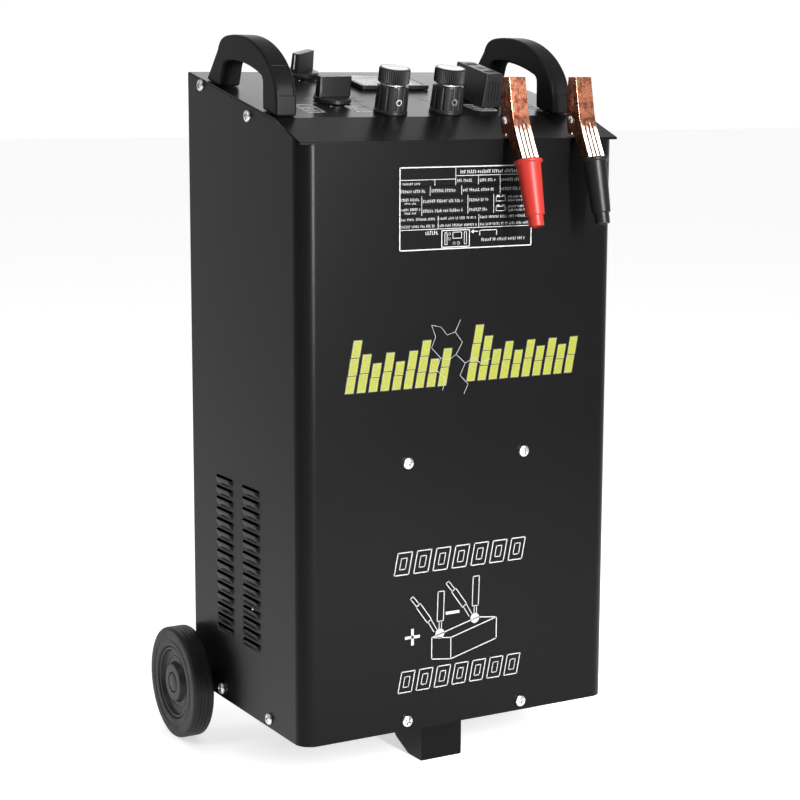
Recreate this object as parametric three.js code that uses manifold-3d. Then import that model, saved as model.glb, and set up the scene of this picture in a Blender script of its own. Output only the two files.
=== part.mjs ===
// Wheeled car battery charger and engine starter: a folded steel cabinet on one foot and two wheels,
// with carrying handles, selectors, lead posts, a meter and a fuse on its sloped top, and two clamps.
// Millimetres, +Z up, the floor at z = 0. The front faces -Y and the origin is under the middle of it.
import * as THREE from 'three';
import { mergeVertices } from 'three/addons/utils/BufferGeometryUtils.js';
import Module from 'manifold-3d';

const wasm = await Module();
wasm.setup();

// ---------- driving dimensions ----------
const FRONT_Y = -110.12;         // front face of the cabinet; every depth below is counted from it
const WIDTH = 305.2;
const DEPTH = 217;
const SHEET = 1.5;               // steel sheet of the cabinet
const GAP = 0.3;                 // clearance between pieces that touch
const CORNER_R = 14;             // upright front corners of the wrapped cover
const BOTTOM_Z = 49;             // lower edge of the cover
const FRONT_TOP_Z = 549;         // where the front panel meets the chamfer
const FOLD_Y = 45;               // fold between the chamfer and the sloped control panel
const FOLD_Z = 566.5;
const BACK_TOP_Z = 603.4;
const LIP_Y = -1.3;              // the chamfer overhangs the front panel by this much
const FLANGE = 14;               // height of the folded flanges

const WHEEL_R = 50.8;            // a 4 inch wheel
const WHEEL_W = 20.2;
const WHEEL_IN_X = 157.4;        // inner side of each wheel
const AXLE_Y = 215.8;
const AXLE_R = 5;

const HANDLE_W = 19;
const LEFT_HANDLE_X = -150;
const RIGHT_HANDLE_X = 117;

const SCREW_HEAD_R = 5;
const SCREW_R = 2.3;
const SCREW_LENGTH = 9;
const FRONT_SCREWS = [[-53.4, 281.5], [61.2, 281.5], [-53.4, 57.6], [61.2, 57.6]];
const SIDE_SCREWS = [[188.3, 591.2], [93.9, 567], [158.7, 57.4], [61.8, 57.4]];

const LOUVRE_ROWS = 15;
const LOUVRE_PITCH = 9.65;
const LOUVRE_LENGTH = 34;
const LOUVRE_SLOT = 2.6;
const LOUVRE_FIRST_Z = 116;
const LOUVRE_COLUMNS = [96.5, 150];

const FOOT_X = 8.3;              // middle of the front foot
const FOOT_W = 41;

const POST_X = [-37, 17];
const POST_V = 15.5;             // places on the control panel are x and the distance v from the fold
const POST_R = 13.3;
const SELECTORS = { front: [-70.8, 57.3, 4], rear: [-51.5, 156, 216] };   // x, v, angle of the grip
const METER = { x: 14.5, v: 122, w: 69, l: 46 };
const FUSE = { x: 70, v: 53, w: 20, l: 52, h: 30 };

const CLAMPS = { red: 45.4, black: 111.8 };   // x of each clamp's middle
const CLAMP_PIVOT = [-2, 563.7];
const CLAMP_W = 16;

const slope = Math.atan2(BACK_TOP_Z - FOLD_Z, DEPTH - FOLD_Y);
const chamferRise = (FOLD_Z - FRONT_TOP_Z) / FOLD_Y;
const topZ = (y) => (y < FOLD_Y ? FRONT_TOP_Z + chamferRise * y : FOLD_Z + Math.tan(slope) * (y - FOLD_Y));
const underTopZ = (y) => topZ(y) - SHEET * 1.1 - GAP;

// ---------- materials ----------
function material(color, roughness, metalness) {
  return new THREE.MeshStandardMaterial({ color, roughness, metalness });
}
const blackPaint = () => material(0x1b1b1d, 0.45, 0.1);
const blackPlastic = () => material(0x151516, 0.5, 0);
const blackRubber = () => material(0x121212, 0.75, 0);
const zinc = () => material(0xc9cbcc, 0.3, 1);
const brass = () => material(0xc8a24a, 0.35, 1);
const copper = () => material(0xb8694a, 0.3, 1);
const lamination = () => material(0x55585c, 0.55, 0.9);

// ---------- solids ----------
function toSolid(geometry) {
  const bare = geometry.clone();
  for (const name of Object.keys(bare.attributes)) {
    if (name !== 'position') bare.deleteAttribute(name);
  }
  const merged = mergeVertices(bare, 1e-4);
  const vertProperties = new Float32Array(merged.attributes.position.array);
  const triVerts = new Uint32Array(merged.index.array);
  return new wasm.Manifold(new wasm.Mesh({ numProp: 3, vertProperties, triVerts }));
}

function toGeometry(solid) {
  const { vertProperties, triVerts } = solid.getMesh();
  const geometry = new THREE.BufferGeometry();
  geometry.setAttribute('position', new THREE.BufferAttribute(new Float32Array(vertProperties), 3));
  geometry.setIndex(new THREE.BufferAttribute(new Uint32Array(triVerts), 1));
  geometry.computeVertexNormals();
  return geometry;
}

function cut(body, ...tools) {
  return toGeometry(tools.reduce((solid, tool) => solid.subtract(toSolid(tool)), toSolid(body)));
}

function join(...pieces) {
  const solids = pieces.map(toSolid);
  return toGeometry(solids.reduce((sum, piece) => sum.add(piece)));
}

function box([x0, x1], [y0, y1], [z0, z1]) {
  const geometry = new THREE.BoxGeometry(x1 - x0, y1 - y0, z1 - z0);
  return geometry.translate((x0 + x1) / 2, (y0 + y1) / 2, (z0 + z1) / 2);
}

function cylinder(axis, radius, [from, to], [a, b], segments = 24) {
  const geometry = new THREE.CylinderGeometry(radius, radius, to - from, segments);
  const middle = (from + to) / 2;
  if (axis === 'x') return geometry.rotateZ(-Math.PI / 2).translate(middle, a, b);
  if (axis === 'y') return geometry.translate(a, middle, b);
  return geometry.rotateX(Math.PI / 2).translate(a, b, middle);
}

function outline(points) {
  return new THREE.Shape(points.map(([u, v]) => new THREE.Vector2(u, v)));
}

// A side profile, a list of (y, z) points or a Shape, drawn from x0 to x1.
function profileX(profile, [x0, x1]) {
  const shape = Array.isArray(profile) ? outline(profile) : profile;
  const settings = { depth: x1 - x0, bevelEnabled: false, curveSegments: 7 };
  const geometry = new THREE.ExtrudeGeometry(shape, settings);
  const turn = new THREE.Matrix4().makeBasis(
    new THREE.Vector3(0, 1, 0), new THREE.Vector3(0, 0, 1), new THREE.Vector3(1, 0, 0));
  return geometry.applyMatrix4(turn).translate(x0, 0, 0);
}

// A turned piece from (radius, height) points that close on themselves or start and end on the axis.
function turned(points, segments = 32) {
  const closed = points[0][0] > 0 ? [...points, points[0]] : points;
  const profile = closed.map(([r, h]) => new THREE.Vector2(r, h));
  return new THREE.LatheGeometry(profile, segments).rotateX(Math.PI / 2);
}

const root = new THREE.Group();
const cabinet = new THREE.Group();
cabinet.position.y = FRONT_Y;
root.add(cabinet);
// The frame of the control panel: x, v up the slope, w out of it.
const panel = new THREE.Group();
panel.position.set(0, FOLD_Y, FOLD_Z);
panel.rotation.x = slope;
cabinet.add(panel);
panel.updateMatrix();

function add(parent, name, geometry, finish) {
  const mesh = new THREE.Mesh(geometry, finish);
  mesh.name = name;
  parent.add(mesh);
}

const onPanel = (geometry) => geometry.applyMatrix4(panel.matrix);

// ---------- cabinet ----------
function uSheetOutline(inset, back) {
  const half = WIDTH / 2 - inset;
  const r = CORNER_R - inset;
  const shape = new THREE.Shape();
  shape.moveTo(-half, back);
  shape.lineTo(-half, inset + r);
  shape.absarc(-half + r, inset + r, r, Math.PI, 1.5 * Math.PI, false);
  shape.lineTo(half - r, inset);
  shape.absarc(half - r, inset + r, r, 1.5 * Math.PI, 2 * Math.PI, false);
  shape.lineTo(half, back);
  shape.closePath();
  return shape;
}

function solidPlan(inset, back, range) {
  const options = { depth: range[1] - range[0], bevelEnabled: false, curveSegments: 6 };
  return new THREE.ExtrudeGeometry(uSheetOutline(inset, back), options).translate(0, 0, range[0]);
}

function screwHoles(radius) {
  const front = FRONT_SCREWS.map(([x, z]) => cylinder('y', radius, [-3, 12], [x, z], 12));
  const side = SIDE_SCREWS.map(([y, z]) => cylinder('x', radius, [-WIDTH, WIDTH], [y, z], 12));
  return [...front, ...side];
}

function louvreSlots() {
  const slots = [];
  for (const y of LOUVRE_COLUMNS) {
    for (let row = 0; row < LOUVRE_ROWS; row += 1) {
      const z = LOUVRE_FIRST_Z + row * LOUVRE_PITCH;
      slots.push(box([-WIDTH, WIDTH], [y - LOUVRE_LENGTH / 2, y + LOUVRE_LENGTH / 2], [z, z + LOUVRE_SLOT]));
    }
  }
  return slots;
}

function wrapCover() {
  const height = [BOTTOM_Z, BACK_TOP_Z + 10];
  const wall = cut(solidPlan(0, DEPTH, height), solidPlan(SHEET, DEPTH + 5, [height[0] - 1, height[1] + 1]));
  const above = [[-20, underTopZ(-20)], [FOLD_Y, underTopZ(FOLD_Y)], [DEPTH + 20, underTopZ(DEPTH + 20)],
    [DEPTH + 20, 700], [-20, 700]];
  const axleNotch = cylinder('x', 9, [-WIDTH, WIDTH], [AXLE_Y, WHEEL_R], 16);
  return cut(wall, profileX(above, [-WIDTH, WIDTH]), axleNotch, ...screwHoles(2.7), ...louvreSlots());
}

const CASE_HOLE = { w: 61, l: 38 };

function panelHoles() {
  const holes = POST_X.map((x) => cylinder('z', 4.4, [-10, 10], [x, POST_V], 16));
  for (const [x, v] of Object.values(SELECTORS)) holes.push(cylinder('z', 3.8, [-10, 10], [x, v], 16));
  holes.push(box([METER.x - CASE_HOLE.w / 2, METER.x + CASE_HOLE.w / 2],
    [METER.v - CASE_HOLE.l / 2, METER.v + CASE_HOLE.l / 2], [-10, 10]));
  return holes.map(onPanel);
}

function topPanel() {
  const drop = SHEET * 1.05;
  const sheet = profileX([[LIP_Y, topZ(LIP_Y)], [LIP_Y, topZ(LIP_Y) - drop], [FOLD_Y, FOLD_Z - drop],
    [DEPTH, BACK_TOP_Z - drop], [DEPTH, BACK_TOP_Z], [FOLD_Y, FOLD_Z]], [-WIDTH / 2, WIDTH / 2]);
  const inner = WIDTH / 2 - SHEET - GAP;
  const backFlange = box([-inner, inner], [DEPTH - SHEET, DEPTH], [BACK_TOP_Z - FLANGE, BACK_TOP_Z - 1]);
  const sideProfile = [[FOLD_Y, FOLD_Z - 1], [FOLD_Y, FOLD_Z - FLANGE],
    [DEPTH - 4, topZ(DEPTH - 4) - FLANGE], [DEPTH - 4, topZ(DEPTH - 4) - 1]];
  const flanges = [-inner, inner - SHEET].map((x) => profileX(sideProfile, [x, x + SHEET]));
  return cut(join(sheet, backFlange, ...flanges), ...panelHoles(), ...screwHoles(2.7));
}

const GLANDS = { mains: [-95, 110], lead: [70, 130] };

function rearPanel() {
  const half = WIDTH / 2 - SHEET - 0.5;
  const plate = box([-half, half], [DEPTH - 3.4, DEPTH - 3.4 + SHEET], [66, BACK_TOP_Z - 4]);
  const [leadX, leadZ] = GLANDS.lead;
  const leadHoles = [-16, 16].map((dx) => cylinder('y', 8.5, [200, 230], [leadX + dx, leadZ], 20));
  return cut(plate, cylinder('y', 8.5, [200, 230], GLANDS.mains, 20), ...leadHoles);
}

function basePlate() {
  const back = 205;
  const tray = solidPlan(SHEET + GAP, back, [BOTTOM_Z + 3, BOTTOM_Z + 3 + FLANGE]);
  const inside = solidPlan(2 * SHEET + GAP, back - SHEET, [BOTTOM_Z + 3 + SHEET, 80]);
  return cut(tray, inside, ...screwHoles(2.7));
}

function frontFoot() {
  const top = BOTTOM_Z + 3 - GAP;
  const outer = [[45, 0], [69, 0], [94, 10.5], [104, top], [45, top]];
  const inner = [[45 + SHEET, SHEET], [68.6, SHEET], [93, 12], [120, 30], [120, top + 5],
    [45 + SHEET, top + 5]];
  const x = [FOOT_X - FOOT_W / 2, FOOT_X + FOOT_W / 2];
  const shell = cut(profileX(outer, x), profileX(inner, [x[0] + SHEET, x[1] - SHEET]));
  const tongue = box([x[0] + 0.5, x[1] - 0.5], [45.5, 100], [top - SHEET, top]);
  return join(shell, tongue);
}

add(cabinet, 'wrap_cover', wrapCover(), blackPaint());
add(cabinet, 'top_panel', topPanel(), blackPaint());
add(cabinet, 'rear_panel', rearPanel(), blackPaint());
add(cabinet, 'base_plate', basePlate(), blackPaint());
add(cabinet, 'front_foot', frontFoot(), blackPaint());

// ---------- screws ----------
function screw() {
  return turned([[0, -SCREW_LENGTH], [SCREW_R, -SCREW_LENGTH], [SCREW_R, GAP], [SCREW_HEAD_R, GAP],
    [SCREW_HEAD_R, 2], [3.6, 3.1], [0, 3.3]], 10);
}

FRONT_SCREWS.forEach(([x, z], i) => {
  add(cabinet, `front_screw_${i + 1}`, screw().rotateX(Math.PI / 2).translate(x, 0, z), zinc());
});
for (const [side, sign] of [['left', -1], ['right', 1]]) {
  SIDE_SCREWS.forEach(([y, z], i) => {
    const geometry = screw().rotateY(sign * Math.PI / 2).translate(sign * WIDTH / 2, y, z);
    add(cabinet, `${side}_screw_${i + 1}`, geometry, zinc());
  });
}

// ---------- running gear ----------
function tyre() {
  const r = WHEEL_R;
  const w = WHEEL_W;
  return turned([[33, 1.5], [36, 0], [r - 2, 0], [r - 0.5, 0.6], [r, 2], [r, w - 2], [r - 0.5, w - 0.6],
    [r - 2, w], [36, w], [33, w - 1.5]], 36);
}

function hub() {
  return turned([[AXLE_R + GAP, -2], [9, -2], [9, 6], [29, 6], [29, 2], [33 - GAP, 2], [33 - GAP, 18.8],
    [30.5, 18.8], [28.5, 15.5], [19, 14.8], [16.4, 19.6], [9.4, 19.6], [9.4, 17.4],
    [AXLE_R + GAP, 17.4]], 28);
}

function axleCap() {
  return turned([[0, 19], [AXLE_R + GAP, 19], [AXLE_R + GAP, 17.7], [9, 17.7], [8.5, 18.8], [6, 19.9],
    [0, 20.1]], 16);
}

function axleBracket() {
  const plate = [[150, 42], [212, 42], [AXLE_Y + 8, 45], [AXLE_Y + 8, 56.5], [209, 56.5], [206, 51.7],
    [150, 51.7]];
  const web = profileX(plate, [-1.5, 1.5]);
  const flange = box([-1, 20], [150, 204], [50, 51.7]);
  return cut(join(web, flange), cylinder('x', AXLE_R + GAP, [-5, 5], [AXLE_Y, WHEEL_R], 24));
}

const axleEnd = WHEEL_IN_X + 18.5;
add(cabinet, 'axle', cylinder('x', AXLE_R, [-axleEnd, axleEnd], [AXLE_Y, WHEEL_R], 24), zinc());
for (const [side, sign] of [['left', -1], ['right', 1]]) {
  const turnOut = (geometry) => geometry.rotateY(sign * Math.PI / 2);
  const place = (geometry) => turnOut(geometry).translate(sign * WHEEL_IN_X, AXLE_Y, WHEEL_R);
  add(cabinet, `${side}_tyre`, place(tyre()), blackRubber());
  add(cabinet, `${side}_hub`, place(hub()), blackPlastic());
  add(cabinet, `${side}_axle_cap`, place(axleCap()), blackPlastic());
  add(cabinet, `${side}_axle_bracket`, axleBracket().translate(sign > 0 ? 110 : -130, 0, 0), blackPaint());
}

// ---------- handles ----------
function handle() {
  const seat = (y) => topZ(y) + GAP;
  const shape = new THREE.Shape();
  shape.moveTo(184, seat(184));
  shape.lineTo(161, 622);
  shape.bezierCurveTo(157, 631, 151, 632.5, 143, 633.5);
  shape.bezierCurveTo(110, 636, 84, 628, 66, 614);
  shape.bezierCurveTo(53, 603, 47.5, 594, 47, 580);
  shape.lineTo(47, seat(47));
  shape.lineTo(73, seat(73));
  shape.lineTo(73, 594);
  shape.quadraticCurveTo(73, 599, 78, 601);
  shape.bezierCurveTo(98, 609, 120, 613.5, 142, 612.5);
  shape.quadraticCurveTo(148, 612, 150, 606);
  shape.lineTo(156, seat(156));
  shape.closePath();
  const recess = [[38, 584], [48.6, 584], [49.3, 590], [51.8, 597], [56.2, 603.6], [60.5, 607.9], [52, 622],
    [38, 622]];
  return cut(profileX(shape, [0, HANDLE_W]), profileX(recess, [2.8, HANDLE_W - 2.8]));
}

add(cabinet, 'left_handle', handle().translate(LEFT_HANDLE_X, 0, 0), blackPlastic());
add(cabinet, 'right_handle', handle().translate(RIGHT_HANDLE_X, 0, 0), blackPlastic());

// ---------- selectors ----------
function selectorKnob(length) {
  const skirt = turned([[0, 0.8], [16.3, 0.8], [16.3, 4], [14.5, 5.5], [0, 5.5]], 28);
  const grip = box([-length / 2, length / 2], [-4.5, 4.5], [5, 22]);
  return cut(join(skirt, grip), cylinder('z', 3.4, [0, 15], [0, 0], 16));
}

for (const [name, [x, v, angle]] of Object.entries(SELECTORS)) {
  const place = (geometry) => geometry.rotateZ(THREE.MathUtils.degToRad(angle)).translate(x, v, 0);
  add(panel, `selector_${name}_knob`, place(selectorKnob(31)), blackPlastic());
  add(panel, `selector_${name}_spindle`, place(cylinder('z', 3, [-15, 14.5], [0, 0], 16)), zinc());
  const body = cut(box([-17, 17], [-11, 11], [-20, -SHEET - 0.6]), cylinder('z', 3.5, [-16, 5], [0, 0], 16));
  add(panel, `selector_${name}_switch`, body.translate(x, v, 0), material(0x2a2a2c, 0.6, 0));
}

// ---------- lead posts ----------
function postCollar() {
  return turned([[4.5, GAP], [14.3, GAP], [14.3, 3], [POST_R, 14], [POST_R, 23.5], [4.5, 23.5]], 20);
}

function postStud() {
  return turned([[0, -16], [4, -16], [4, 23.8], [11, 23.8], [11, 25.2], [4, 25.2], [4, 34], [0, 34]], 16);
}

function postCap() {
  return turned([[0, 34.6], [4.5, 34.6], [4.5, 25.6], [POST_R, 25.6], [POST_R, 37], [12.4, 38.4],
    [0, 38.4]], 20);
}

POST_X.forEach((x, i) => {
  const side = i === 0 ? 'left' : 'right';
  add(panel, `${side}_post_collar`, postCollar().translate(x, POST_V, 0), blackPlastic());
  add(panel, `${side}_post_stud`, postStud().translate(x, POST_V, 0), brass());
  add(panel, `${side}_post_cap`, postCap().translate(x, POST_V, 0), blackPlastic());
});

// ---------- ammeter ----------
const NEEDLE_PIVOT = [METER.x, METER.v - 12];

function centredBox(w, l, range) {
  return box([METER.x - w / 2, METER.x + w / 2], [METER.v - l / 2, METER.v + l / 2], range);
}

function meterCase() {
  const bezel = centredBox(METER.w, METER.l, [GAP, 4]);
  const body = centredBox(CASE_HOLE.w - 1, CASE_HOLE.l - 1, [-30, 1]);
  return cut(join(bezel, body), centredBox(62, 39.5, [2, 6]), centredBox(56, 34, [-6, 6]));
}

function needle() {
  const arm = box([-0.6, 0.6], [-3.6, 24], [-4, -3]);
  const boss = cylinder('z', 2.6, [-4.2, -2.6], [0, 0], 14);
  return join(arm, boss).rotateZ(Math.PI / 4).translate(...NEEDLE_PIVOT, 0);
}

add(panel, 'ammeter_case', meterCase(), blackPlastic());
add(panel, 'ammeter_dial', centredBox(55, 33, [-5.7, -4.7]), material(0xf2f1ec, 0.6, 0));
add(panel, 'ammeter_needle', needle(), material(0xb01818, 0.5, 0));
add(panel, 'ammeter_lens', centredBox(61.4, 38.9, [2.3, 3.9]), material(0xdfe6ea, 0.05, 0));

// ---------- fuse ----------
const fusePosts = [-15, 15];

function fuseCover() {
  const outer = new THREE.BoxGeometry(FUSE.w, FUSE.l, FUSE.h);
  const position = outer.attributes.position;
  for (let i = 0; i < position.count; i += 1) {
    if (position.getZ(i) > 0) position.setX(i, position.getX(i) * 0.85);
  }
  outer.translate(0, 0, FUSE.h / 2 + GAP);
  return cut(outer, box([-7, 7], [-FUSE.l / 2 + 2, FUSE.l / 2 - 2], [0, FUSE.h - 2]));
}

function fuseBase() {
  const block = box([-6, 6], [-22, 22], [GAP, 8]);
  return join(block, ...fusePosts.map((v) => cylinder('z', 2.5, [7, 18], [0, v], 14)));
}

function fuseStrip() {
  const holes = fusePosts.map((v) => cylinder('z', 2.9, [5, 12], [0, v], 14));
  return cut(box([-5, 5], [-20, 20], [8.4, 9.6]), ...holes);
}

add(panel, 'fuse_base', fuseBase().translate(FUSE.x, FUSE.v, 0), blackPlastic());
add(panel, 'fuse_strip', fuseStrip().translate(FUSE.x, FUSE.v, 0), zinc());
add(panel, 'fuse_cover', fuseCover().translate(FUSE.x, FUSE.v, 0), blackPlastic());

// ---------- transformer and rectifier ----------
const CORE = { w: 160, h: 140, l: 60, y: 108, z: BOTTOM_Z + 3 + SHEET + GAP, leg: 50, window: 30 };

function coreBlock() {
  const depth = [CORE.y - CORE.l / 2, CORE.y + CORE.l / 2];
  const block = box([-CORE.w / 2, CORE.w / 2], depth, [CORE.z, CORE.z + CORE.h]);
  const windows = [-1, 1].map((sign) => {
    const near = sign * CORE.leg / 2;
    const far = sign * (CORE.leg / 2 + CORE.window);
    return box([Math.min(near, far), Math.max(near, far)], [0, 200], [CORE.z + 25, CORE.z + CORE.h - 25]);
  });
  return cut(block, ...windows);
}

function winding() {
  const half = CORE.leg / 2 + CORE.window - 2;
  const z = [CORE.z + 26, CORE.z + CORE.h - 26];
  const coil = box([-half, half], [CORE.y - 56, CORE.y + 56], z);
  const legHalf = CORE.leg / 2 + 1;
  return cut(coil, box([-legHalf, legHalf], [CORE.y - CORE.l / 2 - 1, CORE.y + CORE.l / 2 + 1], [0, 300]));
}

function rectifierSink() {
  const back = box([-72, 80], [SHEET + 0.8, SHEET + 5], [240, 320]);
  const fins = [];
  for (let i = 0; i < 7; i += 1) {
    const x = -66 + i * 23;
    fins.push(box([x, x + 3], [SHEET + 4, 32], [240, 320]));
  }
  return cut(join(back, ...fins), ...screwHoles(2.7));
}

add(cabinet, 'transformer_core', coreBlock(), lamination());
add(cabinet, 'transformer_winding', winding(), material(0xa85a2a, 0.5, 0.3));
add(cabinet, 'rectifier_sink', rectifierSink(), material(0xa9acb0, 0.4, 1));

// ---------- glands ----------
function gland(halfLength) {
  const flange = box([-halfLength - 12, halfLength + 12], [DEPTH - 1.6, DEPTH + 2.5], [-12, 12]);
  const centres = halfLength > 0 ? [-halfLength, halfLength] : [0];
  const necks = centres.map((x) => cylinder('y', 8, [DEPTH - 8, DEPTH + 5], [x, 0], 20));
  const bores = centres.map((x) => cylinder('y', 4.5, [DEPTH - 20, DEPTH + 20], [x, 0], 16));
  return cut(join(flange, ...necks), ...bores);
}

add(cabinet, 'mains_gland', gland(0).translate(GLANDS.mains[0], 0, GLANDS.mains[1]), blackRubber());
add(cabinet, 'lead_gland', gland(16).translate(GLANDS.lead[0], 0, GLANDS.lead[1]), blackRubber());

// ---------- clamps ----------
// Profiles are (y, z) from the pivot, with the jaws closed on the upright line y = 0.5.
const MOUTH = [[0.2, 36], [0.2, 24], [-3.4, 18], [-3.4, 11], [0.2, 6]];

const SLEEVE_TILT = Math.atan2(13, 47.5);      // the arm's lower half leans forward by this angle
const inSleeve = (geometry) => geometry.rotateX(-SLEEVE_TILT).translate(0, -23.6, -31.9);
// Half width, half thickness and length of the arm's end inside the sleeve.
const TANG = { w: 5, t: 4.5, l: 35 };

function clampArm() {
  const half = CLAMP_W / 2;
  const outer = [...MOUTH, [6, 4], [7, -1], [3, -7], [-5, -13], [-18.9, -32.6], [-27.9, -29.8], [-16, -7],
    [-11, 10], [-6, 36]];
  const hollow = [[12, 40], [12, -20], [-14, -29], [-24.6, -26.6], [-14.4, -7], [-9.5, 10], [-4.6, 40]];
  const channel = cut(profileX(outer, [-half, half]), profileX(hollow, [-half + 1.2, half - 1.2]));
  const tang = inSleeve(box([-TANG.w, TANG.w], [-TANG.t, TANG.t], [-TANG.l, 3]));
  return join(cut(channel, cylinder('x', 2.3, [-20, 20], [0, 0], 16)), tang);
}

function clampJaw() {
  const half = CLAMP_W / 2 - 1.5;
  const mouth = MOUTH.map(([y, z]) => [1 - y, z]);
  const outer = [...mouth.slice(0, 4), [-3, 5], [-5, -1], [-2, -7], [2, -12.6], [6.5, -11.6], [9, 0],
    [10, 14], [7, 36]];
  const hollow = [[-9, 40], [-9, -20], [0.5, -20], [0.5, -11], [5.2, -10], [7.6, 0], [8.5, 14], [5.6, 40]];
  const body = cut(profileX(outer, [-half, half]), profileX(hollow, [-half + 1.2, half - 1.2]));
  return cut(body, cylinder('x', 2.3, [-20, 20], [0, 0], 16));
}

function clampPin() {
  const shank = cylinder('x', 2, [-CLAMP_W / 2 - 1.2, CLAMP_W / 2 + 1.2], [0, 0], 16);
  const heads = [-1, 1].map((sign) => {
    const x = sign * (CLAMP_W / 2 + 1.1);
    return cylinder('x', 3.4, [x - 0.8, x + 0.8], [0, 0], 16);
  });
  return join(shank, ...heads);
}

function clampSleeve() {
  const length = 56;
  const body = turned([[0, -length], [6.2, -length], [6.4, -length + 9], [7.8, -length + 10], [10.4, -3],
    [12.2, -2.6], [12.2, 0], [0, 0]], 20);
  const pocket = box([-TANG.w - GAP, TANG.w + GAP], [-TANG.t - GAP, TANG.t + GAP], [-TANG.l - 1, 1]);
  const bore = cylinder('z', 3.6, [-length - 1, -TANG.l], [0, 0], 16);
  return inSleeve(cut(body, pocket, bore));
}

for (const [colour, x] of Object.entries(CLAMPS)) {
  const clamp = new THREE.Group();
  clamp.position.set(x, ...CLAMP_PIVOT);
  cabinet.add(clamp);
  add(clamp, `${colour}_clamp_arm`, clampArm(), copper());
  add(clamp, `${colour}_clamp_jaw`, clampJaw(), copper());
  add(clamp, `${colour}_clamp_pin`, clampPin(), zinc());
  const rubber = colour === 'red' ? material(0xc8322c, 0.45, 0) : blackRubber();
  add(clamp, `${colour}_clamp_sleeve`, clampSleeve(), rubber);
}

export default root;
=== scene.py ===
# %% [markdown]
# A wheeled car battery charger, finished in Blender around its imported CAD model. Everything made
# below stands where a CAD part stands and rides on the same body, so it moves with it. All pieces
# are drawn in millimetres in a small frame of their own, and one matrix takes them to metres in
# the shared frame.

# %% Load the frame
import math
import random

import bmesh
import bpy
from mathutils import Matrix, Vector


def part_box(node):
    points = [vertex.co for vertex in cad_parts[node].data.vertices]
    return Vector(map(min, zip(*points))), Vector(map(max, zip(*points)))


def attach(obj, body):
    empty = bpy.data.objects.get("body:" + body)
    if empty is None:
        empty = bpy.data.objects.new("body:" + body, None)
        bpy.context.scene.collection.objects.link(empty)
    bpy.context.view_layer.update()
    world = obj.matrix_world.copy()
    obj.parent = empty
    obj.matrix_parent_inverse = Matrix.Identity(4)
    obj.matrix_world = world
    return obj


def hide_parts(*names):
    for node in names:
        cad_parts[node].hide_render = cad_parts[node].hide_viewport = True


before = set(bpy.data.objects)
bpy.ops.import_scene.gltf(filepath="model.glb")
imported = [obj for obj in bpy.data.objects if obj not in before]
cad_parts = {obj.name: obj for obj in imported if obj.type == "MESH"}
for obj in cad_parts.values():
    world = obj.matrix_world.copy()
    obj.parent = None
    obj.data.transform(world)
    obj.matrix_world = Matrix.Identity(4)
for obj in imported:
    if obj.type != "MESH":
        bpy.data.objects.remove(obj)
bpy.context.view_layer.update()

# %% [markdown]
# The camera comes first. It looks at the front from the left and a little above, through a long lens,
# so that upright edges stay nearly parallel. A long lens from far away is how a catalogue picture of a
# tall appliance is usually taken.

# %% Driving sizes, in millimetres
MM = 0.001
SHEET = 1.5                       # steel sheet
CORNER_R = 14                     # the cover's upright front corners
BOTTOM_Z, FRONT_TOP_Z, FOLD_Z, BACK_Z = 49, 549, 566.5, 603.4
FOLD_Y, DEPTH = 45, 217
LIP_Y = -1.3
WHEEL_R, WHEEL_IN_X, AXLE_Y = 50.8, 157.4, 215.8
POST_X, POST_V = (-37, 17), 15.5
SELECTORS = {"front": (-70.8, 57.3, 4), "rear": (-51.5, 156, 216)}
METER_X, METER_V = 14.5, 122
FUSE_X, FUSE_V = 70, 53
CLAMP_X = {"red": 45.4, "black": 111.8}
CLAMP_PIVOT = (-2, 563.7)
FRONT_SCREWS = [(-53.4, 281.5), (61.2, 281.5), (-53.4, 57.6), (61.2, 57.6)]
SIDE_SCREWS = [(188.3, 591.2), (93.9, 567), (158.7, 57.4), (61.8, 57.4)]

front_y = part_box("wrap_cover")[0].y
half_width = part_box("wrap_cover")[1].x / MM
slope = math.atan2(BACK_Z - FOLD_Z, DEPTH - FOLD_Y)
CABINET = Matrix.Translation((0, front_y, 0)) @ Matrix.Scale(MM, 4)
PANEL = CABINET @ Matrix.Translation((0, FOLD_Y, FOLD_Z)) @ Matrix.Rotation(slope, 4, "X")
print("front at", round(front_y, 4), "half width", round(half_width, 1), "slope",
      round(math.degrees(slope), 1))

# %% Camera
AZIMUTH, ELEVATION, ROLL = math.radians(-29.59), math.radians(9.48), math.radians(0.19)
DISTANCE, LENS = 1.643, 89.3
target = Vector((-0.0609, front_y, 0.3355))
back = Vector((math.sin(AZIMUTH) * math.cos(ELEVATION), -math.cos(AZIMUTH) * math.cos(ELEVATION),
               math.sin(ELEVATION)))
camera = bpy.data.objects.new("camera", bpy.data.cameras.new("camera"))
bpy.context.scene.collection.objects.link(camera)
camera.data.lens, camera.data.sensor_width = LENS, 36
camera.location = target + back * DISTANCE
camera.rotation_mode = "QUATERNION"
camera.rotation_quaternion = (-back).to_track_quat("-Z", "Y") @ Matrix.Rotation(ROLL, 4, "Z").to_quaternion()
camera.data.clip_end = 60
bpy.context.scene.camera = camera
print("camera", tuple(round(v, 3) for v in camera.location))
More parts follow.
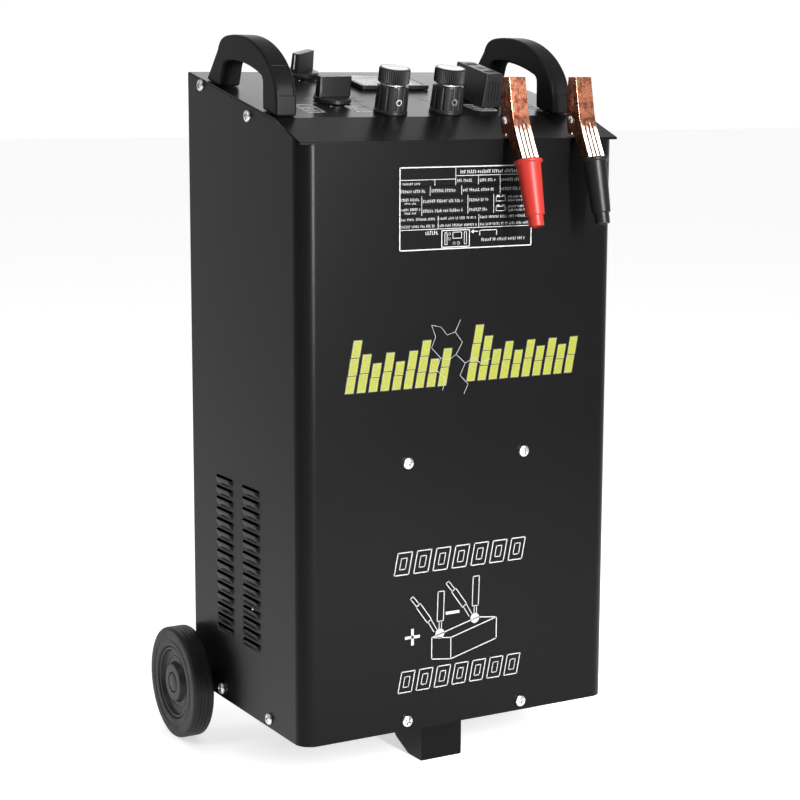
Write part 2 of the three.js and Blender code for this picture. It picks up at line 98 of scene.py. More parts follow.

# %% [markdown]
# Shader maths reads best as plain sums. Wire wraps a node's output so that + - and * on it add
# Math nodes, and Finish makes any node from its type, its settings and its inputs. The constants of a
# finish go straight on the Principled shader's sockets, and only what varies over the surface is wired.

# %% Wire and Finish
class Wire:
    def __init__(self, finish, socket):
        self.finish, self.socket = finish, socket

    def math(self, operation, first, second):
        return self.finish.node("ShaderNodeMath", {"operation": operation}, {0: first, 1: second})

    def __add__(self, other):
        return self.math("ADD", self, other)

    def __sub__(self, other):
        return self.math("SUBTRACT", self, other)

    def __rsub__(self, other):
        return self.math("SUBTRACT", other, self)

    def __mul__(self, other):
        return self.math("MULTIPLY", self, other)

    __radd__, __rmul__ = __add__, __mul__


class Finish:
    def __init__(self, name, **constants):
        self.material = bpy.data.materials.new(name)
        self.material.use_nodes = True
        self.tree = self.material.node_tree
        self.shader = self.tree.nodes["Principled BSDF"]
        self.set(**constants)

    def set(self, **values):
        for name, value in values.items():
            socket = self.shader.inputs[name.replace("_", " ")]
            if isinstance(value, Wire):
                self.tree.links.new(value.socket, socket)
            else:
                socket.default_value = (*value, 1) if isinstance(value, tuple) and len(value) == 3 else value

    def node(self, kind, settings=None, inputs=None, output=0):
        node = self.tree.nodes.new(kind)
        for name, value in (settings or {}).items():
            setattr(node, name, value)
        for key, value in (inputs or {}).items():
            if isinstance(value, Wire):
                self.tree.links.new(value.socket, node.inputs[key])
            else:
                node.inputs[key].default_value = value
        return Wire(self, node.outputs[output])

    def place(self, scale=(1, 1, 1)):
        spot = self.node("ShaderNodeTexCoord", output=3)
        return self.node("ShaderNodeMapping", None, {"Vector": spot, "Scale": scale})

    def noise(self, scale, detail=3, stretch=(1, 1, 1), rough=0.5):
        return self.node("ShaderNodeTexNoise", None,
                         {"Vector": self.place(stretch), "Scale": scale, "Detail": detail,
                          "Roughness": rough})

    def steps(self, value, low, high):
        return self.node("ShaderNodeMapRange", {"interpolation_type": "SMOOTHSTEP"},
                         {"Value": value, "From Min": low, "From Max": high})

    def mix(self, mask, first, second):
        return self.node("ShaderNodeMix", {"data_type": "RGBA"}, {0: mask, 6: first, 7: second}, output=2)

    def blend(self, mask, first, second):
        return self.mix(mask, (*first, 1), (*second, 1))

    def bump(self, height, strength, distance):
        self.set(Normal=self.node("ShaderNodeBump", None,
                                  {"Height": height, "Strength": strength, "Distance": distance * MM}))


# %% [markdown]
# The cabinet's paint is a satin black powder coat. Powder melts into a skin that is never quite flat:
# it has an orange peel of about a millimetre and a finer grain in it, and it is a little glossier where
# it flowed thicker. The peel is bump from two noises, and a slow noise moves the roughness.

# %% Paint
def powder_coat():
    coat = Finish("black_powder_coat", Specular_IOR_Level=0.075)
    flow = coat.noise(9, 2)
    peel, grain = coat.noise(900, 2), coat.noise(2600, 1)
    coat.set(Base_Color=coat.blend(flow, (0.0016, 0.0016, 0.0017), (0.0024, 0.0024, 0.0025)),
             Roughness=0.27 + 0.03 * flow)
    coat.bump(peel + 0.5 * grain, 0.16, 0.05)
    return coat.material


# %% [markdown]
# The black plastics differ in how the mould was cut. The handles have a fine spark-eroded grain that
# scatters light, the knobs and caps are smoother, and the wheels' hubs lie between. One function makes
# them all: a fine noise for the grain, plus a dusty film that lies in slow patches.

# %% Moulded plastics and rubber
def moulded(name, base, roughness, grain_size, grain, specular=0.4, dust=0.3):
    plastic = Finish(name, Specular_IOR_Level=specular)
    cells = plastic.noise(1000 / grain_size, 2)
    patches = plastic.noise(22, 4)
    light = tuple(channel * 1.6 + 0.004 for channel in base)
    plastic.set(Base_Color=plastic.blend(patches * dust, base, light),
                Roughness=roughness - 0.06 + 0.12 * patches)
    plastic.bump(cells, grain, 0.04)
    return plastic.material


def tyre_rubber():
    rubber = Finish("tyre_rubber", Specular_IOR_Level=0.22)
    scuff = rubber.steps(rubber.noise(60, 5, (1, 1, 1), 0.65), 0.5, 0.75)
    rubber.set(Base_Color=rubber.blend(scuff * 0.5, (0.007, 0.007, 0.0073), (0.02, 0.0195, 0.019)),
               Roughness=0.5 + 0.15 * scuff)
    rubber.bump(rubber.noise(1500, 2), 0.25, 0.05)
    return rubber.material


# %% [markdown]
# Metals get their look from the tool that made them. Zinc plate keeps a faint mottle, the copper on
# the clamps is thin over pressed steel, so it shows drawn streaks along the arm and goes brown above
# the rivet, where hands and acid reach it. Below the rivet the arm gets a painted reflection, a
# near-white pink that stands for the white room mirrored in polished copper, and faces turned to the
# sides get painted shade in brown. The laminated core is a pack of thin dark sheets with bright edges.

# %% Metals
def plated(name, base, dull, roughness, stretch=(1, 1, 1), streak=180):
    metal = Finish(name, Metallic=1.0)
    lines = metal.noise(streak, 4, stretch, 0.6)
    mottle = metal.steps(metal.noise(70, 4, (1, 1, 1), 0.6), 0.45, 0.8)
    metal.set(Base_Color=metal.blend(mottle, base, dull), Roughness=roughness + 0.14 * lines)
    metal.bump(lines, 0.15, 0.03)
    return metal.material


def copper_with_painted_light():
    """Brown and dull above the rivet; below it a near-white pink painted reflection, and painted brown shade
    on faces turned to the sides.
    """
    copper = Finish("clamp_copper")
    height = copper.node("ShaderNodeSeparateXYZ", None, {0: copper.place()}, output=2)
    streaks = copper.noise(90, 4, (8, 8, 0.6), 0.6)
    stain = copper.steps(copper.noise(160, 5, (1, 1, 1), 0.65), 0.42, 0.66)
    # A height step splits the arm at the rivet: brown above, the painted reflection below.
    above_rivet = copper.steps(height + 0.02 * streaks, 0.562, 0.572)
    brown = copper.blend(stain, (0.56, 0.22, 0.13), (0.2, 0.06, 0.035))
    # The normal's x part: faces turned to the sides are painted brown as shade.
    side = copper.node("ShaderNodeSeparateXYZ", None, {0: copper.node("ShaderNodeTexCoord", output=1)})
    tarnish_and_side_shade = 1 - (1 - above_rivet) * (1 - copper.steps(side * side, 0.2, 0.4))
    # A near-white pink painted reflection, standing for the white room mirrored in the arm below the rivet.
    painted_reflection = copper.blend(streaks, (1, 0.86, 0.76), (0.95, 0.72, 0.6))
    copper.set(Base_Color=copper.mix(tarnish_and_side_shade, painted_reflection, brown), Roughness=0.42 - 0.2 * tarnish_and_side_shade + 0.1 * streaks,
               Metallic=0.3 + 0.7 * tarnish_and_side_shade)
    copper.bump(streaks, 0.2, 0.04)
    return copper.material


def banded(name, base, gap, pitch, axis, metallic, roughness):
    stack = Finish(name, Metallic=metallic, Roughness=roughness)
    bands = stack.node("ShaderNodeTexWave", {"bands_direction": axis},
                       {"Vector": stack.place(), "Scale": 0.3142 / (pitch * MM), "Distortion": 0.0})
    mottle = stack.noise(50, 3)
    edge = stack.steps(bands, 0.1, 0.4)
    stack.set(Base_Color=stack.blend(edge * (0.7 + 0.3 * mottle), gap, base))
    stack.bump(bands, 0.5, 0.2)
    return stack.material


# %% [markdown]
# Screen-printed ink is a film a few hundredths of a millimetre thick, a little uneven in cover. The
# lens is clear acrylic, thin enough that a nearly transparent glossy surface shows it well.

# %% Inks, lens and sleeves
def ink(name, base, roughness=0.45):
    film = Finish(name, Specular_IOR_Level=0.3)
    cover = film.noise(700, 3)
    worn = tuple(channel * 0.82 for channel in base)
    film.set(Base_Color=film.blend(film.steps(cover, 0.35, 0.6), worn, base),
             Roughness=roughness + 0.1 * cover)
    return film.material


def clear_lens():
    lens = Finish("clear_lens", Base_Color=(0.95, 0.97, 0.98), Roughness=0.04)
    haze = lens.noise(30, 3)
    lens.set(Alpha=0.16 + 0.05 * haze)
    lens.material.surface_render_method = "BLENDED"
    return lens.material


PAINT = powder_coat()
HANDLE = moulded("handle_plastic", (0.003, 0.003, 0.0032), 0.44, 0.5, 0.3, 0.06)
CONTROL = moulded("control_plastic", (0.0035, 0.0035, 0.0037), 0.34, 0.3, 0.12, 0.26)
HUB = moulded("wheel_plastic", (0.007, 0.007, 0.0074), 0.45, 0.4, 0.2, 0.24)
TYRE = tyre_rubber()
GLAND = moulded("gland_rubber", (0.012, 0.012, 0.012), 0.7, 0.5, 0.3, 0.25)
ZINC = plated("zinc_plate", (0.62, 0.63, 0.64), (0.4, 0.4, 0.41), 0.24)
SATIN = plated("satin_disc", (0.72, 0.72, 0.73), (0.6, 0.6, 0.6), 0.34, (1, 1, 1), 500)
COPPER = copper_with_painted_light()
# The clamp ribs get a dark brown painted shade, standing for the dark that their sides mirror.
RIB_PAINTED_SHADE = moulded("clamp_rib_painted_shade", (0.02, 0.006, 0.004), 0.4, 0.4, 0.2)
ALUMINIUM = plated("sink_aluminium", (0.75, 0.76, 0.77), (0.62, 0.62, 0.63), 0.3, (1, 1, 0.1), 400)
CORE = banded("core_steel", (0.3, 0.31, 0.33), (0.03, 0.03, 0.03), 1.0, "Y", 0.8, 0.5)
WINDING = banded("winding_enamel", (0.42, 0.16, 0.06), (0.06, 0.02, 0.01), 2.2, "Z", 0.4, 0.35)
RED_SLEEVE = moulded("red_sleeve", (0.17, 0.011, 0.008), 0.38, 0.8, 0.2, 0.16, 0.06)
BLACK_SLEEVE = moulded("black_sleeve", (0.003, 0.003, 0.0032), 0.36, 0.8, 0.2, 0.12)
WHITE_INK = ink("white_ink", (0.27, 0.27, 0.27))
GREY_INK = ink("grey_ink", (0.15, 0.155, 0.16))
LIME_INK = ink("lime_ink", (0.125, 0.132, 0.009))
PALE_LIME_INK = ink("pale_lime_ink", (0.17, 0.18, 0.035))
BLACK_INK = ink("black_ink", (0.02, 0.02, 0.02))
DIAL_WHITE = ink("dial_white", (0.86, 0.86, 0.83), 0.5)
NEEDLE_RED = ink("needle_red", (0.6, 0.03, 0.03), 0.35)
LENS_CLEAR = clear_lens()
print("materials", len(bpy.data.materials))

# %% [markdown]
# Four small makers draw almost every piece: a prism from an outline, a turned piece from a profile, a
# box, and a round bar along a path. Each gives a bmesh in millimetres. cut() takes material away with
# the exact boolean, rounded() rounds edges, and piece() smooths, places and dresses the result.

# %% Makers
def prism(points, low, high):
    shape = bmesh.new()
    rings = [[shape.verts.new((x, y, z)) for x, y in points] for z in (low, high)]
    shape.faces.new(rings[0][::-1])
    shape.faces.new(rings[1])
    for i in range(len(points)):
        j = (i + 1) % len(points)
        shape.faces.new((rings[0][i], rings[0][j], rings[1][j], rings[1][i]))
    bmesh.ops.recalc_face_normals(shape, faces=shape.faces)
    return shape


def turned(profile, steps=72, ribs=0, rib_depth=0.0, rib_span=(0, 0)):
    """A lathe piece. ribs adds knurling: that many ridges over the heights in rib_span."""
    shape = bmesh.new()
    rings = []
    for radius, height in profile:
        if radius < 1e-6:
            rings.append([shape.verts.new((0, 0, height))])
            continue
        ring = []
        for k in range(steps):
            angle = 2 * math.pi * k / steps
            wave = 1 if ribs and rib_span[0] <= height <= rib_span[1] else 0
            r = radius - wave * rib_depth * (0.5 - 0.5 * math.cos(ribs * angle)) ** 0.6
            ring.append(shape.verts.new((r * math.cos(angle), r * math.sin(angle), height)))
        rings.append(ring)
    pairs = list(zip(rings, rings[1:]))
    if len(rings[0]) > 1 and len(rings[-1]) > 1:
        pairs.append((rings[-1], rings[0]))
    for lower, upper in pairs:
        for k in range(steps):
            j = (k + 1) % steps
            corners = [lower[k % len(lower)], lower[j % len(lower)], upper[j % len(upper)],
                       upper[k % len(upper)]]
            unique = list(dict.fromkeys(corners))
            if len(unique) > 2:
                shape.faces.new(unique)
    bmesh.ops.recalc_face_normals(shape, faces=shape.faces)
    return shape


def block(x, y, z):
    return prism([(x[0], y[0]), (x[1], y[0]), (x[1], y[1]), (x[0], y[1])], z[0], z[1])


def bar(points, radius, sides=10, taper=None):
    """A round bar along a path, with its radius scaled by taper(t) from end to end."""
    shape = bmesh.new()
    path = [Vector(p) for p in points]
    rings = []
    side = (path[1] - path[0]).orthogonal().normalized()
    for i, spot in enumerate(path):
        along = (path[min(i + 1, len(path) - 1)] - path[max(i - 1, 0)]).normalized()
        side = (side - along * side.dot(along)).normalized()
        up = along.cross(side)
        r = radius * (taper(i / (len(path) - 1)) if taper else 1)
        rings.append([shape.verts.new(spot + side * r * math.cos(a) + up * r * math.sin(a))
                      for a in [2 * math.pi * k / sides for k in range(sides)]])
    for lower, upper in zip(rings, rings[1:]):
        for k in range(sides):
            j = (k + 1) % sides
            shape.faces.new((lower[k], lower[j], upper[j], upper[k]))
    shape.faces.new(rings[0][::-1])
    shape.faces.new(rings[-1])
    bmesh.ops.recalc_face_normals(shape, faces=shape.faces)
    return shape


def joined(*shapes):
    """Several closed shapes in one bmesh."""
    whole = bmesh.new()
    for shape in shapes:
        mesh = bpy.data.meshes.new("part")
        shape.to_mesh(mesh)
        whole.from_mesh(mesh)
        bpy.data.meshes.remove(mesh)
        shape.free()
    return whole


def moved(shape, matrix):
    shape.transform(matrix)
    return shape


def shifted(shape, x=0, y=0, z=0):
    return moved(shape, Matrix.Translation((x, y, z)))


# Cyclic turns: a prism drawn in (y, z) is taken to run along X, and one drawn in (x, z) to run along -Y.
ALONG_X = Matrix(((0, 0, 1, 0), (1, 0, 0, 0), (0, 1, 0, 0), (0, 0, 0, 1)))
ALONG_Y = Matrix(((1, 0, 0, 0), (0, 0, -1, 0), (0, 1, 0, 0), (0, 0, 0, 1)))


def temporary(shape):
    mesh = bpy.data.meshes.new("temporary")
    shape.to_mesh(mesh)
    shape.free()
    thing = bpy.data.objects.new("temporary", mesh)
    bpy.context.scene.collection.objects.link(thing)
    return thing


def applied(thing):
    """The mesh of an object with its modifiers applied, as a bmesh; the object is removed."""
    evaluated = thing.evaluated_get(bpy.context.evaluated_depsgraph_get())
    mesh = bpy.data.meshes.new_from_object(evaluated)
    shape = bmesh.new()
    shape.from_mesh(mesh)
    bpy.data.objects.remove(thing)
    bpy.data.meshes.remove(mesh)
    return shape


def cut(shape, *tools, operation="DIFFERENCE"):
    body = temporary(shape)
    cutter = temporary(joined(*tools))
    step = body.modifiers.new("cut", "BOOLEAN")
    step.object, step.operation, step.solver = cutter, operation, "EXACT"
    step.use_self = True
    result = applied(body)
    bpy.data.objects.remove(cutter)
    bmesh.ops.remove_doubles(result, verts=result.verts, dist=1e-4)
    bmesh.ops.dissolve_limit(result, angle_limit=0.002, verts=result.verts, edges=result.edges)
    return result


def rounded(shape, width, segments=2, angle=35):
    body = temporary(shape)
    step = body.modifiers.new("round", "BEVEL")
    step.width, step.segments, step.angle_limit = width, segments, math.radians(angle)
    step.limit_method, step.use_clamp_overlap = "ANGLE", True
    return applied(body)


def piece(name, shape, material, body, where=CABINET, replaces=(), smooth=35):
    mesh = bpy.data.meshes.new(name)
    shape.transform(where)
    shape.to_mesh(mesh)
    shape.free()
    mesh.materials.append(material)
    mesh.shade_smooth()
    mesh.set_sharp_from_angle(angle=math.radians(smooth))
    thing = bpy.data.objects.new(name, mesh)
    bpy.context.scene.collection.objects.link(thing)
    step = thing.modifiers.new("normals", "WEIGHTED_NORMAL")
    step.keep_sharp = True
    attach(thing, body)
    if replaces:
        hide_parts(*replaces)
    return thing


def arc(centre, radius, start, end, steps):
    angles = [math.radians(start + (end - start) * k / steps) for k in range(steps + 1)]
    return [(centre[0] + radius * math.cos(a), centre[1] + radius * math.sin(a)) for a in angles]


# %% [markdown]
# The cover is one sheet bent round the front and both sides. It could be a box with a shell modifier,
# but the top edge climbs with the control panel, so the sheet is drawn as what it is: a path in plan
# with an inner and an outer line, whose height follows the panel above it.

# %% Cover sheet
def top_z(y):
    if y < FOLD_Y:
        return FRONT_TOP_Z + (FOLD_Z - FRONT_TOP_Z) * y / FOLD_Y
    return FOLD_Z + math.tan(slope) * (y - FOLD_Y)


def sheet_path(inset):
    half, r = half_width - inset, CORNER_R - inset
    left = arc((-half + r, CORNER_R), r, 180, 270, 14)
    right = arc((half - r, CORNER_R), r, 270, 360, 14)
    return [(-half, DEPTH), (-half, FOLD_Y), *left, *right, (half, FOLD_Y), (half, DEPTH)]


def cover_sheet():
    shape = bmesh.new()
    sections = []
    for (ox, oy), (ix, iy) in zip(sheet_path(0), sheet_path(SHEET)):
        high = top_z(oy) - SHEET * 1.1 - 0.3
        corners = ((ox, oy, BOTTOM_Z), (ox, oy, high), (ix, iy, high), (ix, iy, BOTTOM_Z))
        sections.append([shape.verts.new(corner) for corner in corners])
    for one, two in zip(sections, sections[1:]):
        for k in range(4):
            shape.faces.new((one[k], one[(k + 1) % 4], two[(k + 1) % 4], two[k]))
    shape.faces.new(sections[0][::-1])
    shape.faces.new(sections[-1])
    bmesh.ops.recalc_face_normals(shape, faces=shape.faces)
    return shape


# %% [markdown]
# The louvres are lanced and pressed: a slit is cut and the strip below it is pushed out into a scoop
# that stays joined at its foot and ends. Each scoop is a curved grid, deepest at its open upper lip and
# closed off in round ends, and the slit is a real cut in the sheet behind it.

# %% Louvres
LOUVRE_ROWS, LOUVRE_PITCH, LOUVRE_FIRST_Z = 15, 9.65, 116
LOUVRE_COLUMNS, LOUVRE_LENGTH, LOUVRE_SLOT = (96.5, 150), 34, 1.5
SCOOP_DEPTH, SCOOP_HEIGHT, SCOOP_SKIN = 2.3, 6.2, 0.9


def louvre_places():
    return [(y, LOUVRE_FIRST_Z + row * LOUVRE_PITCH) for y in LOUVRE_COLUMNS for row in range(LOUVRE_ROWS)]


def scoop(sign, y, z):
    """One pressed scoop on the side at sign, with its open lip at height z."""
    shape = bmesh.new()
    along, up = 14, 6
    skins = []
    for inset in (0, SCOOP_SKIN):
        rows = []
        for j in range(up + 1):
            t = j / up
            row = []
            for i in range(along + 1):
                s = 2 * i / along - 1
                end = max(0.0, 1 - abs(s) ** 7) ** 0.5
                out = max(SCOOP_DEPTH * math.sin(t * math.pi / 2) * end - inset, -0.6 - inset * 0.2)
                x = sign * (half_width + out)
                row.append(shape.verts.new((x, y + s * LOUVRE_LENGTH / 2, z - SCOOP_HEIGHT * (1 - t))))
            rows.append(row)
        skins.append(rows)
    for rows in skins:
        for low, high in zip(rows, rows[1:]):
            for i in range(along):
                shape.faces.new((low[i], low[i + 1], high[i + 1], high[i]))
    outer, inner = skins
    rim_outer = outer[0] + [r[-1] for r in outer[1:]] + outer[-1][-2::-1] + [r[0] for r in outer[-2:0:-1]]
    rim_inner = inner[0] + [r[-1] for r in inner[1:]] + inner[-1][-2::-1] + [r[0] for r in inner[-2:0:-1]]
    for k in range(len(rim_outer)):
        j = (k + 1) % len(rim_outer)
        shape.faces.new((rim_outer[k], rim_outer[j], rim_inner[j], rim_inner[k]))
    bmesh.ops.recalc_face_normals(shape, faces=shape.faces)
    return shape


def hole_y(x, z, radius=2.7):
    rod = turned([(0, -12), (radius, -12), (radius, 12), (0, 12)], 24)
    return moved(rod, Matrix.Translation((x, 0, z)) @ ALONG_Y)


def hole_x(y, z, radius=2.7):
    rod = turned([(0, -200), (radius, -200), (radius, 200), (0, 200)], 24)
    return moved(rod, Matrix.Translation((0, y, z)) @ ALONG_X)


slots = [block((-200, 200), (y - LOUVRE_LENGTH / 2 + 1, y + LOUVRE_LENGTH / 2 - 1),
               (z - 0.8, z + LOUVRE_SLOT))
         for y, z in louvre_places()]
holes = [hole_y(x, z) for x, z in FRONT_SCREWS] + [hole_x(y, z) for y, z in SIDE_SCREWS]
cover = cut(cover_sheet(), *slots, *holes, hole_x(AXLE_Y, WHEEL_R, 9))
piece("cover_sheet", cover, PAINT, "cabinet", replaces=["wrap_cover"])
for side, sign in (("left", -1), ("right", 1)):
    scoops = joined(*[scoop(sign, y, z) for y, z in louvre_places()])
    piece(f"{side}_louvres", scoops, PAINT, "cabinet", smooth=50)
print("cover with", len(louvre_places()), "louvres a side")

# %% [markdown]
# The top is a second sheet: it hooks over the front edge, climbs the chamfer, bends again into the
# control panel and turns down at the back. A bent sheet is drawn best as its own section, with a real
# radius at every bend, and pushed through the full width.

# %% Top sheet
def filleted(points, radius, steps=5):
    """A path whose inner corners are rounded; radius is a number or a list with one for each corner."""
    path = [points[0]]
    for i in range(1, len(points) - 1):
        r = radius[i - 1] if isinstance(radius, (list, tuple)) else radius
        corner, before, after = (Vector(points[k]) for k in (i, i - 1, i + 1))
        one, two = (before - corner).normalized(), (after - corner).normalized()
        half = one.angle(two) / 2
        reach = min(r / math.tan(half), 0.45 * (before - corner).length, 0.45 * (after - corner).length)
        for k in range(steps + 1):
            t = k / steps
            ends = (corner + one * reach) * (1 - t) ** 2 + (corner + two * reach) * t * t
            point = ends + corner * 2 * t * (1 - t)
            path.append(tuple(point))
    path.append(points[-1])
    return path


def thick(path, width):
    """A path drawn as a strip of that width on its right-hand side."""
    inner = []
    for i, point in enumerate(path):
        a, b = Vector(path[max(i - 1, 0)]), Vector(path[min(i + 1, len(path) - 1)])
        along = (b - a).normalized()
        inner.append((point[0] + along.y * width, point[1] - along.x * width))
    return [*path, *inner[::-1]]


section = filleted([(LIP_Y, top_z(LIP_Y) - 1.9), (LIP_Y, top_z(LIP_Y)), (FOLD_Y, FOLD_Z), (DEPTH, BACK_Z),
                    (DEPTH, BACK_Z - 14)], [0.9, 5, 2.6])
sheet = moved(prism(thick(section, SHEET), -half_width, half_width), ALONG_X)
panel_to_cabinet = CABINET.inverted() @ PANEL


def panel_hole(x, v, radius):
    rod = turned([(0, -10), (radius, -10), (radius, 10), (0, 10)], 32)
    return moved(rod, panel_to_cabinet @ Matrix.Translation((x, v, 0)))


meter_hole = moved(block((METER_X - 30.5, METER_X + 30.5), (METER_V - 19, METER_V + 19), (-10, 10)),
                   panel_to_cabinet)
tools = [panel_hole(x, POST_V, 4.4) for x in POST_X]
tools += [panel_hole(x, v, 3.8) for x, v, angle in SELECTORS.values()]
piece("top_sheet", cut(sheet, *tools, meter_hole), PAINT, "cabinet",
      replaces=["top_panel"],
      smooth=40)
side_plan = [(FOLD_Y, FOLD_Z - 2), (FOLD_Y, FOLD_Z - 14), (DEPTH - 4, top_z(DEPTH - 4) - 14),
             (DEPTH - 4, top_z(DEPTH - 4) - 2)]
flanges = [moved(prism(side_plan, x, x + SHEET), ALONG_X) for x in (-half_width + 1.8, half_width - 3.3)]
piece("top_flanges", cut(joined(*flanges), *[hole_x(y, z) for y, z in SIDE_SCREWS[:2]]), PAINT, "cabinet")
print("top sheet section of", len(section), "points")

# %% [markdown]
# The back is a flat plate let in between the sides, held by four screws of its own, with two rubber
# glands near its foot for the mains cord and the two leads. The floor of the cabinet is a shallow
# folded tray, and the foot under it is a strip bent into a ski.

# %% Rear panel, tray and foot
REAR_SCREWS = [(-143, 84), (143, 84), (-143, 560), (143, 560)]
GLAND_MAINS, GLAND_LEAD = (-95, 110), (70, 130)
rear_y = (DEPTH - 3.4, DEPTH - 1.9)
plate = block((-half_width + 2, half_width - 2), rear_y, (66, BACK_Z - 4.4))
rear_holes = [shifted(hole_y(x, z, 8.5), 0, DEPTH - 3) for x, z in
              (GLAND_MAINS, (GLAND_LEAD[0] - 16, GLAND_LEAD[1]), (GLAND_LEAD[0] + 16, GLAND_LEAD[1]))]
vents = [shifted(hole_y(x, z, 2.6), 0, DEPTH - 3) for x in range(-60, 61, 10) for z in range(430, 471, 10)]
rear = cut(plate, *rear_holes, *vents)
piece("rear_plate", rounded(rear, 0.35, 1), PAINT, "cabinet", replaces=["rear_panel"])


def plan(inset, back):
    half, r = half_width - inset, CORNER_R - inset
    return [(-half, back), *arc((-half + r, CORNER_R), r, 180, 270, 10),
            *arc((half - r, CORNER_R), r, 270, 360, 10),
            (half, back)]


tray = cut(prism(plan(1.8, 205), 52, 66), prism(plan(3.3, 203.5), 53.5, 80),
           *[hole_y(x, z) for x, z in FRONT_SCREWS[2:]], *[hole_x(y, z) for y, z in SIDE_SCREWS[2:]])
piece("base_tray", rounded(tray, 0.5, 2), PAINT, "cabinet", replaces=["base_plate"])

FOOT_X, FOOT_HALF, FOOT_TOP = 8.3, 20.5, 51.7
ski = filleted([(45, FOOT_TOP), (45, 0), (69, 0), (94, 10.5), (104, FOOT_TOP)], [1.6, 14, 9])
hollow = filleted([(46.5, FOOT_TOP + 5), (46.5, 1.5), (68.6, 1.5), (93, 12), (120, 30), (120, FOOT_TOP + 5)],
                  [0.8, 13, 8, 1])
shell = cut(moved(prism(ski, FOOT_X - FOOT_HALF, FOOT_X + FOOT_HALF), ALONG_X),
            moved(prism(hollow, FOOT_X - FOOT_HALF + SHEET, FOOT_X + FOOT_HALF - SHEET), ALONG_X))
piece("front_ski", rounded(shell, 0.5, 2, 50), PAINT, "cabinet",
      replaces=["front_foot"])
print("rear plate with", len(vents), "vent holes")


# %% [markdown]
# The screws are pan heads with a cross recess. One is turned and cut, and copies of it are set into
# every hole: the slots of the real ones stand at random angles, so each copy gets its own turn.

# %% Screws
def screw_mesh():
    body = turned([(0, -9), (2.3, -9), (2.3, 0.3), (5, 0.3), (5, 1.3), (4.7, 2.2), (4.0, 2.8), (2.6, 3.2),
                   (1.2, 3.3), (0, 3.3)], 40)
    arms = []
    for angle in (0, 90):
        wedge = prism([(-3.4, 3.6), (-1.3, 0.9), (1.3, 0.9), (3.4, 3.6)], -0.7, 0.7)
        stand = Matrix.Rotation(math.radians(angle), 4, "Z") @ Matrix.Rotation(math.pi / 2, 4, "X")
        arms.append(moved(wedge, stand))
    return cut(body, *arms)


random.seed(7)
screw = screw_mesh()


def set_screw(name, stand, replaces=()):
    turn = Matrix.Rotation(random.uniform(0, math.pi / 2), 4, "Z")
    piece(name, moved(screw.copy(), stand @ turn), ZINC, "cabinet", replaces=replaces,
          smooth=30)


for i, (x, z) in enumerate(FRONT_SCREWS):
    set_screw(f"front_pan_head_{i + 1}", Matrix.Translation((x, 0, z)) @ ALONG_Y, [f"front_screw_{i + 1}"])
for side, sign in (("left", -1), ("right", 1)):
    for i, (y, z) in enumerate(SIDE_SCREWS):
        stand = Matrix.Translation((sign * half_width, y, z)) @ Matrix.Rotation(sign * math.pi / 2, 4, "Y")
        set_screw(f"{side}_pan_head_{i + 1}", stand, [f"{side}_screw_{i + 1}"])
for i, (x, z) in enumerate(REAR_SCREWS):
    stand = Matrix.Translation((x, DEPTH - 1.9, z)) @ Matrix.Rotation(-math.pi / 2, 4, "X")
    set_screw(f"rear_pan_head_{i + 1}", stand)
print("screws", len(FRONT_SCREWS) + 2 * len(SIDE_SCREWS) + len(REAR_SCREWS))

# %% [markdown]
# Each wheel is a plump rubber tyre pressed on a plastic hub. The tyre's side has the raised moulding
# ring that workshop castors have, and the hub is a dish with a ring in it and a raised middle. All
# three turned pieces ride on the wheel's own body, so they spin together.

# %% Wheels
def mirrored_profile(half_profile, width):
    """A profile drawn for the outer side, completed by its mirror image on the inner side."""
    return half_profile + [(r, width - h) for r, h in half_profile[::-1]]


tyre_profile = mirrored_profile(
    [(33, 17.6), (33.3, 18.8), (34.2, 19.6), (35.6, 19.9), (38.9, 19.9), (39.4, 19.5), (41.2, 19.5),
     (41.7, 19.9),
     (42.6, 20.2), (47.6, 20.2), (49, 20), (50.1, 19.4), (50.6, 18.5), (50.8, 17.4), (50.8, 14),
     (50.4, 13.8), (50.4, 13.4), (50.8, 13.2), (50.8, 10.6), (50.4, 10.4), (50.4, 10.1)], 20.2)
hub_profile = [(5.3, -2), (8.4, -2), (9, -1.4), (9, 6), (29, 6), (29, 2.6), (29.5, 2), (32.7, 2), (32.7, 18),
               (32.2, 18.6), (31.2, 18.8), (30.4, 18.5), (29.7, 17), (29, 15.8), (28, 15.4), (24.4, 15.2),
               (24, 15.6), (23.2, 15.6), (22.8, 15.1), (19.8, 14.9), (18.8, 15.2), (18, 16.4), (17.2, 18.4),
               (16.5, 19.3), (15.4, 19.6), (9.9, 19.6), (9.4, 19.2), (9.4, 17.4), (5.3, 17.4)]
cap_profile = [(0, 19), (5.3, 19), (5.3, 17.7), (9, 17.7), (9.1, 18.2), (8.8, 18.9), (7.9, 19.5),
               (6.2, 19.9),
               (3.5, 20.1), (0, 20.1)]
for side, sign in (("left", -1), ("right", 1)):
    turn_out = Matrix.Rotation(sign * math.pi / 2, 4, "Y")
    stand = Matrix.Translation((sign * WHEEL_IN_X, AXLE_Y, WHEEL_R)) @ turn_out
    wheel = f"{side}_wheel"
    piece(f"{side}_tyre_round", moved(turned(tyre_profile, 120), stand), TYRE, wheel,
          replaces=[f"{side}_tyre"], smooth=50)
    piece(f"{side}_hub_dish", moved(turned(hub_profile, 96), stand), HUB, wheel,
          replaces=[f"{side}_hub"])
    piece(f"{side}_hub_cap", moved(turned(cap_profile, 48), stand), HUB, wheel,
          replaces=[f"{side}_axle_cap"])

